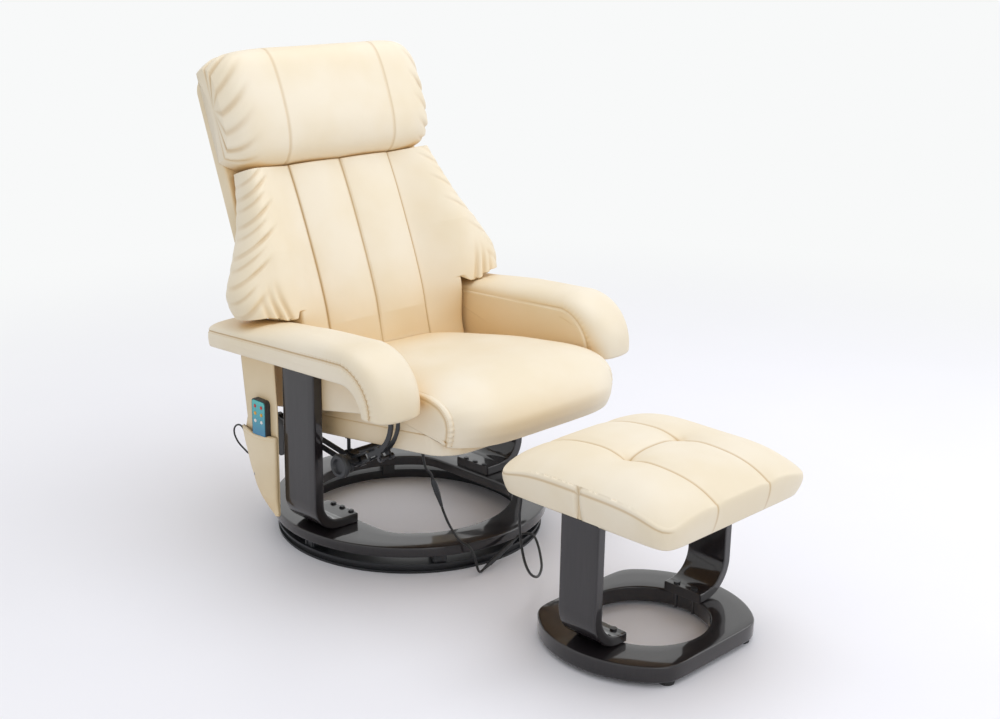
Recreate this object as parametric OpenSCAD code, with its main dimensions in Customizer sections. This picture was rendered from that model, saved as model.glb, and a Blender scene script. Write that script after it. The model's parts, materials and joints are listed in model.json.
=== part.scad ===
// Swivel reclining massage armchair with a matching footstool.
// Millimetres. +Z is up, the sitter faces -Y, the origin is on the floor on the swivel axis.

/* [Chair base] */
// Radius of the wooden ring
ring_r = 320; // [300:5:340]
// Thickness of the wooden ring
ring_t = 23.8; // [20:0.2:28]
// Height of the wooden ring's top
ring_top = 65.5; // [60:0.5:75]
// Radius of the hole in the wooden ring
ring_hole_r = 238; // [225:1:245]
// Half distance between the flats of that hole
ring_flat_x = 195; // [185:1:200]
// Bevel of the wooden ring's rim
ring_rim = 3; // [2:0.5:6]
// Outer radius of the steel ring on the floor
floor_ring_r = 309; // [295:1:315]
// Radial width of the steel ring
floor_ring_w = 46; // [40:1:50]
// Height of the steel ring
floor_ring_h = 21; // [18:0.5:23]
// Radius of a roller
roller_r = 8; // [7:0.5:8.5]
// Width of a roller
roller_w = 10; // [8:1:14]
// Width of a roller housing along the ring
housing_w = 30; // [26:1:36]
// Length of a roller housing across the ring
housing_l = 34; // [30:1:40]

/* [Legs] */
// Clearance between a leg and the upholstered board at its side
leg_gap = 0.6; // [0.4:0.1:1]
// Thickness of a leg
leg_t = 25; // [20:1:28]
// Width of a leg along Y
leg_w = 107; // [90:1:120]
// Place of the middle of a leg along Y
leg_y = 1.5; // [-10:0.5:10]
// Outer radius of the bend at a leg's foot
leg_bend_r = 68.6; // [60:0.2:80]
// Thickness of a leg's foot plate
foot_t = 22; // [18:1:25]
// Length of a foot plate from the leg's outer face to its end
foot_l = 120.9; // [100:0.1:125]
// Height of a leg's top
leg_top = 452; // [430:1:456]
// Spacing of the three bolts in a foot plate
foot_bolt_pitch = 31; // [24:1:38]

/* [Arms] */
// Clearance between the seat cushion and an arm's inner face
arm_gap = 10.5; // [8:0.5:14]
// Width of an arm's padding
arm_w = 132.5; // [110:0.5:140]
// Thickness of the upholstered board under an arm
panel_t = 39.5; // [36:0.5:40]
// Rear end of an arm along Y
arm_rear_y = 224; // [200:1:240]
// Place along Y where an arm's underside turns down
arm_turn_y = -222; // [-240:1:-200]
// Height of an arm's underside at its rear end
arm_rear_z = 450; // [446:1:470]
// Height of an arm's underside at its turn
arm_turn_z = 468; // [460:1:480]
// Radius of an arm's underside in its turn
arm_turn_r = 55; // [45:1:65]
// Height of an arm's side band
arm_band = 43; // [36:1:50]
// Crown of an arm's top above its side band
arm_crown = 34; // [20:1:45]

/* [Seat] */
// Half width of the seat cushion
seat_half = 250; // [240:1:252]
// Depth of the seat cushion
seat_depth = 542; // [500:1:560]
// Rear of the seat cushion along Y
seat_rear_y = 90; // [85:1:93]
// Lowest height of the seat frame's rear edge
seat_low_z = 272; // [265:1:280]
// Height of the seat from there to the cushion's highest point
seat_rise = 192; // [170:1:200]
// Upward tilt of the seat frame to the front in degrees
seat_tilt = 7; // [4:0.5:9]
// Height of the seat frame
frame_h = 30; // [24:1:36]
// Width of the seat frame's rails
rail_w = 22; // [16:1:30]
// Travel of the seat along its guide bars when the back reclines
seat_travel = 60; // [50:1:64]

/* [Back] */
// Lean of the back from upright in degrees
back_lean = 21; // [16:0.5:26]
// Height of the foot of the back's rear face
back_foot_z = 480; // [470:1:490]
// Place of the foot of the back's rear face along Y
back_foot_y = 203.5; // [195:0.5:215]
// Height of the back pivot
pivot_z = 440; // [435:1:445]
// Place of the back pivot along Y
pivot_y = 150; // [146:1:154]
// Half width of the back board and its rear cover
back_half = 284; // [270:1:290]
// Half width of the back between the arms
waist_half = 246; // [236:1:247]
// Top of the back along its length
back_top = 578; // [560:1:590]
// Bottom of the back along its length
back_bottom = -145; // [-150:1:-130]
// Half width of the middle padding
channel_half = 147; // [130:1:160]
// Greatest half width of the wings
wing_half = 391; // [370:1:393]
// Thickness of the rear cover
shell_t = 20; // [16:1:24]
// Thickness of the back board
board_t = 12; // [10:1:15]

/* [Headrest] */
// Half width of the headrest
head_half = 303; // [285:1:310]
// Lower edge of the headrest along the back
head_low = 337; // [330:1:350]
// Upper edge of the headrest along the back
head_high = 604; // [590:1:615]
// Depth of the headrest from the back's rear face
head_n = 137; // [120:1:150]

/* [Mechanism] */
// Distance from an arm's inner face to the middle of its pair of guide bars
guide_in = 5.25; // [4.5:0.25:6.5]
// Distance between the middles of the two bars of a pair
guide_gap = 22; // [20:1:24]
// Thickness of a guide bar
bar_t = 5; // [4:0.5:6]
// Width of a guide bar in its curve
bar_w = 11; // [9:1:14]
// Width of a guide bar along its slot
slot_bar_w = 22; // [20:1:26]
// Place of the knob axis along Y
knob_y = -108; // [-112:1:-104]
// Height of the knob axis
knob_z = 240; // [234:1:246]
// Rise of the guide bars forward of the knob in degrees
guide_pitch = 29; // [24:1:32]
// Radius of a knob
knob_r = 27; // [22:1:30]
// Thickness of a knob
knob_t = 18; // [14:1:22]
// Radius of a knob's bolt
knob_bolt_r = 3; // [2.5:0.5:4]
// Radius of the tube between the clamps
cross_r = 8; // [7:0.5:10]
// Place of that tube along Y
cross_y = -70; // [-76:1:-66]
// Height of that tube's middle
cross_z = 243; // [240:1:248]
// Radius of a pivot bolt
pivot_r = 5; // [4:0.5:6]

/* [Massage parts] */
// Radius of a vibration motor's can
motor_r = 28; // [22:1:32]
// Length of a vibration motor's can
motor_l = 26; // [22:1:28]
// Width of the handset along Y
handset_w = 50; // [44:1:56]
// Thickness of the handset
handset_t = 14; // [12:0.5:15]
// Length of the handset
handset_l = 186; // [170:1:190]
// Radius of a key
key_r = 4; // [3:0.5:5]
// Travel of a key
key_travel = 0.8; // [0.5:0.1:1]
// Radius of the massage cord
cord_r = 2.8; // [2.2:0.1:3.4]
// Radius of the handset's cord
thin_cord_r = 2; // [1.6:0.1:2.4]

/* [Footstool] */
// Place of the footstool's middle along X
stool_x = -57; // [-80:1:-40]
// Place of the footstool's middle along Y
stool_y = -759.5; // [-800:0.5:-740]
// Radius of the footstool's ring
stool_ring_r = 216.5; // [205:0.5:230]
// Half distance between the flat front and rear of that ring
stool_flat_y = 174; // [165:1:185]
// Radius of the hole in that ring
stool_hole_r = 128; // [115:1:132]
// Height of that ring's underside
stool_pad_h = 10; // [6:1:14]
// Thickness of that ring
stool_ring_t = 34; // [26:1:38]
// Distance from the footstool's middle to a leg's outer face
stool_leg_x = 212; // [205:1:216]
// Thickness of the footstool's legs
stool_leg_t = 21.7; // [18:0.1:25]
// Width of the footstool's legs
stool_leg_w = 93; // [80:1:105]
// Outer radius of the bend at a footstool leg's foot
stool_bend_r = 75; // [65:1:85]
// Thickness of the footstool's foot plates
stool_foot_t = 20; // [16:1:22]
// Distance from the footstool's middle to the end of a foot plate
stool_foot_end = 116; // [110:1:125]
// Height of the footstool board's underside
stool_board_z = 310; // [300:1:330]
// Width of the footstool's cushion
stool_w = 430; // [400:1:450]
// Depth of the footstool's cushion
stool_d = 415; // [390:1:430]
// Height of the footstool's cushion
stool_h = 92; // [80:1:110]

/* [Hidden] */

// Places across that follow from the seat's width
arm_in_x = seat_half + arm_gap;
arm_out_x = arm_in_x + arm_w;
leg_x = arm_in_x + panel_t + leg_gap + leg_t;
foot_end_x = leg_x - foot_l;
guide_x = arm_in_x + guide_in;

// Clearances and overrun
gap = 0.3;
run = 0.05;
over = 1;
hole_play = 0.2;
fine = 72;
coarse = 36;

// Chair base
ring_low = ring_top - ring_t;
lip_t = 5;
channel_deep = 8;
track_r = floor_ring_r - floor_ring_w / 2;
roller_z = floor_ring_h + roller_r + gap;
axle_r = 2;
housing_wall = 4;
rib_w = 5;
rib_t = 2;
rib_share = 0.32;
tab_t = 4;
tab_drop = 8;
housing_step = 60;

// Legs
leg_in_r = 45;
leg_bolt_r = 3.5;
bolt_head_r = 7;
bolt_head_h = 4;
nut_r = 6;
nut_h = 5;
foot_bolt_in = 5.5;
foot_bolt_y = -3;

// Arms
arm_mid_x = (arm_in_x + over + arm_out_x) / 2;
arm_half = (arm_out_x - arm_in_x - over) / 2;
arm_points = 20;
arm_stations = 7;
arm_arc_steps = 7;
arm_end_angle = 90;
arm_end_band = 30;
arm_end_crown = 48;
arm_rear_crown = 16;
arm_round = 9;
panel_rear_y = 205;
panel_rear_z = 301;
panel_turn_y = -212;
panel_turn_z = 381;
panel_slope = atan((panel_turn_z - panel_rear_z) / (panel_rear_y - panel_turn_y));
panel_nose_gap = 0.5;
screw_r = 4;
screw_head_r = 7;
screw_head_h = 4;
arm_screw_z_shares = [0.93, 0.87];
arm_screw_y = 28;
blind = 7;

// Seat
seat_frame_rear = 30;
seat_frame_front = -388;
seat_panel_t = 12;
seat_stations = 20;
seat_edge_power = 3.2;
seat_lip_in = 8;
seat_heel_share = 0.2;
// Shares of the depth, from the rear, and of the rise, for the middle of the cushion's top
seat_mid_shares = [[0, 0.73], [0.17, 0.83], [0.35, 0.92], [0.54, 0.98], [0.72, 1], [0.84, 0.955],
    [0.945, 0.81], [0.995, 0.64], [1, 0.5], [0.982, 0.385]];
// The same for the cushion's sides
seat_side_shares = [[0, 0.48], [0.12, 0.55], [0.33, 0.68], [0.525, 0.8], [0.71, 0.875],
    [0.82, 0.84], [0.875, 0.74], [0.892, 0.62], [0.888, 0.5], [0.87, 0.385]];
seat_motor_x = 110;
seat_motor_shares = [0.45];
control_l = 120;
control_w = 80;
control_h = 16;
control_y = -300;
grommet_r = 9;
grommet_h = 15;

// Back
board_n = shell_t + gap;
pad_lift = 4;
pad_n = board_n + board_t + pad_lift;
shell_wall = 6;
shoulder_v = 48;
corner_r = 50;
pivot_v = (pivot_y - back_foot_y) * sin(back_lean) + (pivot_z - back_foot_z) * cos(back_lean);
pivot_n = (back_foot_y - pivot_y) * cos(back_lean) + (pivot_z - back_foot_z) * sin(back_lean);
hinge_t = 4;
hinge_half = 44;
hinge_flange = 40;
notch_deep = 11;
channel_crown = 9;
channel_start_v = -96;
channel_fade = 60;
channel_points = 16;
channel_stations = 12;
bolster_points = 11;
bolster_round_power = 5;
wing_swell = 34;
ledge_v = 8;
ledge_rise = 52;
ledge_reach = 128;
bolster_over = 6;
bolster_under = 14;
// Places along the back and the front surface's distance from the rear face at the seams
seam_shares = [[-0.25, 0.545], [-0.18, 0.575], [-0.08, 0.62], [0.02, 0.67], [0.15, 0.685],
    [0.3, 0.675], [0.44, 0.65], [0.52, 0.625], [0.6, 0.59]];
// Places along the back and the wings' half width as shares of their greatest
wing_shares = [[0, 0.99], [0.04, 1], [0.12, 0.995], [0.18, 0.975], [0.26, 0.925], [0.35, 0.86],
    [0.43, 0.81], [0.52, 0.77], [0.6, 0.74]];
motor_x = 92;
motor_v_shares = [0.12, 0.42];
// Headrest side profile as shares of its height and of its depth, from the lower rear edge
head_shares = [[0, 0.3], [0, 0.5], [0.03, 0.7], [0.12, 0.87], [0.27, 0.965], [0.45, 1],
    [0.65, 0.995], [0.83, 0.95], [0.94, 0.86], [0.99, 0.72], [1, 0.5], [0.99, 0.3], [0.96, 0.08]];
head_stations = 18;
head_end_n_share = 0.56;
head_end_v_share = 0.05;
head_end_low_share = 0.27;
head_back_share = 0.93;
head_round = 7;

// Mechanism
guide_low = guide_x - guide_gap / 2 - bar_t / 2;
guide_high = guide_x + guide_gap / 2 + bar_t / 2;
guide_start_y = -200;
guide_arc_r = 88;
guide_arc_2_r = 120;
guide_arc_2 = 12;
guide_rear_y = 143;
guide_rear_z = 279;
guide_way = [-cos(guide_pitch), sin(guide_pitch)];
slot_margin = 8;
slot_start = [knob_y, knob_z] - slot_margin * guide_way;
slot_end = [knob_y, knob_z] + (seat_travel + slot_margin) * guide_way;
neck_r = 6;
slot_play = 0.3;
sleeve_r = 11;
hub_r = 21.5;
hub_t = 9.4;
inner_hub_r = 14;
link_r = 11;
cross_wall = 1.5;
hub_in = 29.75;
inner_hub_x = guide_x - hub_in;
stud_r = 4;
stud_in = 8;
stud_x = inner_hub_x + stud_in;
stud_flange_r = 8.5;
stud_flange_h = 3;
knob_rim = 6;
knob_dish_r = 17;
knob_dish = 6;
hanger_r = 12;
hanger_low_z = 199;
spacer = [-216, 281];
spacer_root = [-203, 297];
spacer_r = 4;
spacer_head = 7;
top_plate_t = 4;
top_plate_l = 40;
top_plate_y = -256;
plate_screw_shares = [0.22, 0.78];
guide_arc_steps = 7;
guide_arc_2_steps = 3;

// Handset and pouch
pouch_gap = 7.4;
pouch_x = leg_x + pouch_gap;
pouch_t = 2.5;
pouch_front_y = 62;
pouch_w = 119;
pouch_low_z = 78;
pouch_h = 184;
mouth_drop = 12;
// Outline of the pocket as shares of its width and height, each with its inset along y and z
pocket_shares = [[0, 1, 1, 0], [0, 0.033, 1, 1], [0.05, 0, 0, 2], [0.27, 0.098, 0, 1.6],
    [0.605, 0.348, -1, 1], [0.78, 0.576, -1, 0], [1, 0.957, -1, 0]];
// Outline of the strip that it hangs from, and its two upper corners along y
strip_shares = [[0, 1.359], [0.017, 0.88], [0.882, 0.88], [0.908, 1.152]];
strip_top_shares = [0.076, 1.092];
pouch_deep = handset_t + 2 * gap;
handset_y = 111;
handset_z = 160;
handset_corner = 9;
face_t = 1.4;
face_in = 3;
key_h = 4.4;
key_out = 1.2;
key_dx = 11;
key_pitch = 17;
key_top_z = 330;
key_play = 0.2;

// Footstool
stool_low = stool_pad_h;
stool_top = stool_low + stool_ring_t;
stool_pad_r = 15;
stool_pad_x = 120;
stool_pad_y = 150;
stool_bolt_x = 127;
stool_bolt_y = 22;
stool_board_t = 12;
stool_board_in = 15;
bracket_w = 60;
bracket_h = 30;
bracket_t = 3;
stool_cells = 20;
tuft_x = 81;
tuft_deep = 16;
tuft_r = 34;
seam_deep = 7;
seam_r = 16;
stool_inner_r = 55;
stool_tuck = 12;
stool_pull = 8;
// How far the cushion's top falls towards its ends and its front and rear, as shares of its height
stool_fall_shares = [0.35, 0.4];
seam_share = 0.6;

// Routes of the free cords, by hand
massage_route = [[-219, -279, 298], [-217, -279, 284], [-205, -274, 258], [-187, -270, 239],
    [-182, -270, 226]];
lower_route = [[-155, -270, 156], [-149, -270, 141], [-142, -277, 116], [-134, -288, 92],
    [-128, -302, 76], [-125, -318, 72], [-123, -330, 64], [-120, -338, 46], [-116, -341, 26],
    [-108, -338, 12], [-98, -335, 6], [-88, -335, 10]];
lead_route = [[6, -339, 54], [15, -339, 58], [23, -345, 62], [26, -358, 66], [20, -378, 70],
    [4, -404, 68], [-24, -440, 60], [-60, -478, 52], [-104, -508, 56], [-150, -530, 84], [-188, -548, 130],
    [-216, -562, 190], [-236, -576, 250], [-246, -588, 286], [-247, -590, 300], [-247, -590, 310]];
// The handset's cord, with its places across counted from the pouch
handset_way = [[-11, 118, 159.7], [-11, 118, 153], [-11, 122, 147], [-11, 129, 147],
    [-11, 133, 154], [-11, 138.5, 166], [-11, 145, 184], [-11, 156, 214], [-11, 167, 244],
    [-11, 175, 260], [-12, 185, 267], [-12, 199, 264], [-10, 212, 252], [-7, 216, 236],
    [-3, 208, 218], [2, 192, 204], [5, 176, 196], [11, 162, 200], [19, 154, 224], [29, 150, 256],
    [39, 148, 282], [48, 148, 300], [49, 148, 311]];
handset_route = [for (p = handset_way) [p[0] - pouch_x, p[1], p[2]]];

// Soft forms and small helpers
function mean(pts) = [for (k = [0:2]) [for (p = pts) p[k]] * [for (p = pts) 1] / len(pts)];
function mix(a, b, t) = a + (b - a) * t;
function at(table, u) = lookup(u, table);
function bend(p0, p1, p2, p3, t) =
    0.5 * (2 * p1 + (p2 - p0) * t + (2 * p0 - 5 * p1 + 4 * p2 - p3) * t * t
    + (3 * p1 - p0 - 3 * p2 + p3) * t * t * t);
function smooth(pts, steps) = [for (i = [0:len(pts) - 2]) for (s = [0:steps - 1])
    bend(pts[max(i - 1, 0)], pts[i], pts[i + 1], pts[min(i + 2, len(pts) - 1)], s / steps)];
function with_end(pts, steps) = concat(smooth(pts, steps), [pts[len(pts) - 1]]);
function on_back(x, v, n) = [x, back_foot_y + v * sin(back_lean) - n * cos(back_lean),
    back_foot_z + v * cos(back_lean) + n * sin(back_lean)];

module loft(rings) {
    n = len(rings[0]);
    m = len(rings);
    pts = concat([for (r = rings) each r], [mean(rings[0]), mean(rings[m - 1])]);
    sides = [for (i = [0:m - 2]) for (j = [0:n - 1]) let (a = i * n + j, b = i * n + (j + 1) % n)
        each [[a, b + n, b], [a, a + n, b + n]]];
    first = [for (j = [0:n - 1]) [j, (j + 1) % n, m * n]];
    last = [for (j = [0:n - 1]) [(m - 1) * n + (j + 1) % n, (m - 1) * n + j, m * n + 1]];
    polyhedron(points = pts, faces = concat(sides, first, last), convexity = 8);
}

module cord(route, r, sides = 8) {
    count = len(route);
    ways = [for (i = [0:count - 1]) let (d = route[min(i + 1, count - 1)] - route[max(i - 1, 0)])
        d / norm(d)];
    loft([for (i = [0:count - 1]) let (w = ways[i],
        flat = abs(w[0]) < 0.7 ? [1, 0, 0] : [0, 0, 1],
        u = cross(w, flat) / norm(cross(w, flat)), s = cross(w, u))
        [for (j = [0:sides - 1]) route[i] + r * (cos(360 * j / sides) * u + sin(360 * j / sides) * s)]]);
}

module on_side(side) {
    mirror([side < 0 ? 1 : 0, 0, 0]) children();
}

module along_x(x, y, z) {
    translate([x, y, z]) rotate([0, 90, 0]) children();
}

// Chair base
module floor_ring() {
    inner = floor_ring_r - floor_ring_w;
    color("#26221f") rotate_extrude($fn = fine)
        polygon([[inner, 0], [floor_ring_r, 0], [floor_ring_r, lip_t],
            [floor_ring_r - channel_deep, lip_t],
            [floor_ring_r - channel_deep, floor_ring_h - lip_t],
            [floor_ring_r, floor_ring_h - lip_t], [floor_ring_r, floor_ring_h],
            [inner, floor_ring_h]]);
}

module ring_hole() {
    intersection() {
        circle(ring_hole_r, $fn = fine);
        square([2 * ring_flat_x, 2 * ring_r], center = true);
    }
}

module swivel_ring() {
    color("#231f1e") difference() {
        rotate_extrude($fn = fine)
            polygon([[0, ring_low], [ring_r - ring_rim, ring_low], [ring_r, ring_low + ring_rim],
                [ring_r, ring_top - ring_rim], [ring_r - ring_rim, ring_top], [0, ring_top]]);
        translate([0, 0, ring_low - over]) linear_extrude(ring_t + 2 * over) ring_hole();
        foot_bolt_places() translate([0, 0, ring_low - over])
            cylinder(h = ring_t + 2 * over, r = leg_bolt_r + hole_play, $fn = coarse);
    }
}

module foot_bolt_places() {
    for (s = [-1, 1]) for (k = [-1:1])
        translate([s * (foot_end_x + foot_bolt_in), foot_bolt_y + k * foot_bolt_pitch, 0]) children();
}

module roller_housing() {
    high = ring_low - floor_ring_h - over;
    difference() {
        union() {
            translate([track_r - housing_l / 2, -housing_w / 2, ring_low - high])
                cube([housing_l, housing_w, high]);
            for (s = [-1, 1]) translate([track_r + housing_l / 2, s * housing_w * rib_share - rib_w / 2,
                ring_low - high]) cube([rib_t, rib_w, high]);
            translate([floor_ring_r - floor_ring_w - tab_t - over, -housing_w / 2,
                ring_low - high - tab_drop]) cube([tab_t, housing_w, high + tab_drop]);
            translate([floor_ring_r - floor_ring_w - tab_t - over, -housing_w / 2,
                ring_low - housing_wall]) cube([housing_l / 2, housing_w, housing_wall]);
        }
        translate([track_r - roller_w / 2 - gap, -roller_r - over, floor_ring_h - over])
            cube([roller_w + 2 * gap, 2 * (roller_r + over), roller_r * 2 + over + housing_wall / 2]);
    }
    along_x(track_r - roller_w / 2 - over, 0, roller_z)
        cylinder(h = roller_w + 2 * over, r = axle_r, $fn = coarse);
}

module roller_housings() {
    color("#1b1b1c") for (k = [0:5]) rotate([0, 0, k * housing_step]) roller_housing();
}

module roller(k) {
    color("#3a3a3c") rotate([0, 0, (k - 1) * housing_step]) difference() {
        along_x(track_r - roller_w / 2, 0, roller_z) cylinder(h = roller_w, r = roller_r, $fn = coarse);
        along_x(track_r - roller_w / 2 - over, 0, roller_z)
            cylinder(h = roller_w + 2 * over, r = axle_r + run, $fn = coarse);
    }
}

// Legs
module corner_sweep(x_out, z_low, x_end, z_top, r) {
    translate([x_end, z_low]) square([x_out - r - x_end, z_top - z_low]);
    translate([x_end, z_low + r]) square([x_out - x_end, z_top - z_low - r]);
    translate([x_out - r, z_low + r]) circle(r, $fn = fine);
}

module bent_leg(x_out, z_low, t, foot, r_out, r_in, x_end, z_top, width) {
    translate([0, width / 2, 0]) rotate([90, 0, 0]) linear_extrude(width) difference() {
        corner_sweep(x_out, z_low, x_end, z_top, r_out);
        corner_sweep(x_out - t, z_low + foot, x_end - over, z_top + over, r_in);
        translate([x_end - r_out * 2 - over, z_low - over])
            square([r_out * 2 + over, z_top - z_low + 2 * over]);
    }
}

module leg(side) {
    color("#241f1d") difference() {
        on_side(side) translate([0, leg_y, 0])
            bent_leg(leg_x, ring_top, leg_t, foot_t, leg_bend_r, leg_in_r, foot_end_x, leg_top, leg_w);
        foot_bolt_places() translate([0, 0, ring_top - over])
            cylinder(h = foot_t + 2 * over, r = leg_bolt_r + hole_play, $fn = coarse);
        arm_screw_places() cylinder(h = leg_x, r = screw_r + hole_play, $fn = coarse);
    }
}

module leg_bolts() {
    color("#4a4a4c") foot_bolt_places() {
        translate([0, 0, ring_low - nut_h])
            cylinder(h = ring_t + foot_t + nut_h + bolt_head_h / 2, r = leg_bolt_r, $fn = coarse);
        translate([0, 0, ring_top + foot_t]) cylinder(h = bolt_head_h / 2, r = bolt_head_r, $fn = coarse);
        translate([0, 0, ring_top + foot_t + bolt_head_h / 2])
            cylinder(h = bolt_head_h / 2, r = bolt_head_r * 3 / 4, $fn = coarse);
        translate([0, 0, ring_low - nut_h]) cylinder(h = nut_h, r = nut_r, $fn = 6);
    }
}

// Arms
arm_slope = atan((arm_turn_z - arm_rear_z) / (arm_rear_y - arm_turn_y));
function arm_line(y) = arm_rear_z + (arm_rear_y - y) * tan(arm_slope);
arm_centre_z = arm_turn_z - arm_turn_r;
function arm_section(y, z, angle, band, crown, half) = [for (j = [0:arm_points - 1])
    let (a = 360 * j / arm_points,
        top = a <= 180,
        x = half * sign(cos(a)) * pow(abs(cos(a)), top ? 0.75 : 0.3),
        n = top ? band + crown * pow(abs(sin(a)), 0.85) : band * (1 - pow(abs(sin(a)), 0.2)))
    [arm_mid_x + x, y - n * sin(angle), z + n * cos(angle)]];

module arm_pad(side) {
    straight = [for (k = [0:arm_stations]) let (u = k / arm_stations,
        y = mix(arm_rear_y, arm_turn_y, u)) arm_section(y, arm_line(y), 0,
        mix(arm_band * 0.9, arm_band, u), mix(arm_rear_crown, arm_crown, min(1, u * 1.6)), arm_half)];
    rear = [arm_section(arm_rear_y + arm_round / 3, arm_rear_z + arm_round / 2, 0,
        arm_band * 0.9 - arm_round, arm_rear_crown - arm_round / 2, arm_half - arm_round)];
    arc = [for (k = [1:arm_arc_steps]) let (u = k / arm_arc_steps, a = arm_end_angle * u)
        arm_section(arm_turn_y - arm_turn_r * sin(a), arm_centre_z + arm_turn_r * cos(a), a,
        mix(arm_band, arm_end_band, u), mix(arm_crown, arm_end_crown, u),
        arm_half - arm_round / 2 * pow(u, 3))];
    color("#ead9b8") on_side(side) loft(concat(rear, straight, arc));
}

module arm_panel(side) {
    nose_r = arm_turn_r - panel_nose_gap;
    color("#e6d5b4") on_side(side) difference() {
        translate([arm_in_x, 0, 0]) rotate([90, 0, 90]) linear_extrude(panel_t) intersection() {
            union() {
                polygon([[panel_rear_y, panel_rear_z], [panel_rear_y, arm_line(panel_rear_y) - gap],
                    [arm_turn_y, arm_line(arm_turn_y) - gap], [arm_turn_y - nose_r, panel_turn_z],
                    [panel_turn_y, panel_turn_z]]);
                translate([arm_turn_y, arm_centre_z]) circle(nose_r, $fn = fine);
            }
            polygon([[panel_rear_y + over, panel_rear_z], [panel_rear_y + over, arm_turn_z],
                [arm_turn_y - arm_turn_r, arm_turn_z], [arm_turn_y - arm_turn_r, panel_turn_z + nose_r / 3],
                [arm_turn_y - nose_r / 2, panel_turn_z + over], [panel_turn_y, panel_turn_z],
                [panel_rear_y, panel_rear_z - over]]);
        }
        along_x(arm_in_x - over, pivot_y, pivot_z)
            cylinder(h = panel_t + 2 * over, r = pivot_r + hole_play, $fn = coarse);
        arm_screw_places_one() {
            cylinder(h = leg_x, r = screw_r + hole_play, $fn = coarse);
            cylinder(h = screw_head_h + over + gap, r = screw_head_r + hole_play, $fn = coarse);
        }
        plate_screw_places() cylinder(h = top_plate_l, r = screw_r + hole_play, $fn = coarse);
    }
}

module arm_screw_places_one() {
    for (z = arm_screw_z_shares) for (dy = [-1, 1])
        along_x(arm_in_x - over, leg_y + dy * arm_screw_y, leg_top * z) children();
}

module arm_screw_places() {
    for (s = [-1, 1]) on_side(s) arm_screw_places_one() children();
}

module plate_frame() {
    translate([guide_x, top_plate_y, panel_turn_z - gap]) children();
}

module plate_screw_places() {
    plate_frame() for (y = plate_screw_shares)
        translate([guide_gap, y * top_plate_l, -top_plate_t]) children();
}

module arm_screws() {
    color("#4a4a4c") for (s = [-1, 1]) on_side(s) {
        arm_screw_places_one() translate([0, 0, over + gap]) {
            cylinder(h = leg_x - arm_in_x - blind, r = screw_r, $fn = coarse);
            cylinder(h = screw_head_h, r = screw_head_r, $fn = coarse);
        }
        plate_screw_places() {
            cylinder(h = top_plate_l / 2, r = screw_r, $fn = coarse);
            translate([0, 0, -screw_head_h]) cylinder(h = screw_head_h, r = screw_head_r, $fn = coarse);
        }
    }
}

// Guide bars
guide_start = [guide_start_y, knob_z + (knob_y - guide_start_y) * tan(guide_pitch)];
guide_top = guide_start + guide_arc_r * [sin(guide_pitch) - 1, cos(guide_pitch)];
guide_path = concat(
    [[guide_rear_y, guide_rear_z], [knob_y, knob_z]],
    [for (k = [0:guide_arc_steps]) let (a = mix(guide_pitch, 90, k / guide_arc_steps))
        guide_start + guide_arc_r * [sin(guide_pitch) - sin(a), cos(guide_pitch) - cos(a)]],
    [for (k = [1:guide_arc_2_steps]) let (a = guide_arc_2 * k / guide_arc_2_steps)
        guide_top + guide_arc_2_r * [1 - cos(a), sin(a)]]);

function path_side(path, w) = [for (i = [0:len(path) - 1])
    let (d = path[min(i + 1, len(path) - 1)] - path[max(i - 1, 0)], u = d / norm(d))
    path[i] + w * [-u[1], u[0]]];

module stadium(a, b, r) {
    side = [a[1] - b[1], b[0] - a[0]] * r / norm(b - a);
    polygon([a + side, b + side, b - side, a - side]);
    for (p = [a, b]) translate(p) circle(r, $fn = coarse);
}

module guide_outline() {
    back_way = path_side(guide_path, bar_w / 2);
    difference() {
        union() {
            polygon(concat(path_side(guide_path, -bar_w / 2),
                [for (i = [len(back_way) - 1:-1:0]) back_way[i]]));
            translate([guide_rear_y, guide_rear_z]) circle(bar_w / 2, $fn = coarse);
            stadium(slot_start, slot_end, slot_bar_w / 2);
            stadium(spacer, spacer_root, spacer_head);
        }
        stadium(slot_start, slot_end, neck_r + slot_play);
        for (p = [spacer, [guide_rear_y, guide_rear_z]])
            translate(p) circle(spacer_r + hole_play, $fn = coarse);
    }
}

module hanger_outline() {
    difference() {
        stadium([guide_rear_y, hanger_low_z], [guide_rear_y, guide_rear_z], hanger_r);
        translate([guide_rear_y, guide_rear_z]) circle(spacer_r + hole_play, $fn = coarse);
    }
}

module guide_bars() {
    color("#2a2b2e") for (s = [-1, 1]) on_side(s) {
        difference() {
            for (x = [guide_low, guide_high - bar_t])
                translate([x, 0, 0]) rotate([90, 0, 90]) linear_extrude(bar_t) guide_outline();
            plate_frame() translate([-top_plate_l, -top_plate_l, -top_plate_t / 2])
                cube([top_plate_l * 2, top_plate_l * 3, top_plate_l]);
        }
        difference() {
            plate_frame() translate([guide_low - guide_x, 0, -top_plate_t])
                cube([guide_gap * 2 + bar_t, top_plate_l, top_plate_t]);
            plate_screw_places() translate([0, 0, -over])
                cylinder(h = top_plate_l, r = screw_r + hole_play, $fn = coarse);
        }
        translate([guide_x - bar_t / 2, 0, 0]) rotate([90, 0, 90]) linear_extrude(bar_t)
            hanger_outline();
        along_x(guide_low + bar_t, guide_rear_y, guide_rear_z) difference() {
            cylinder(h = guide_gap - bar_t, r = spacer_head, $fn = coarse);
            translate([0, 0, -over]) cylinder(h = guide_gap, r = spacer_r + hole_play, $fn = coarse);
        }
    }
}

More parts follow.
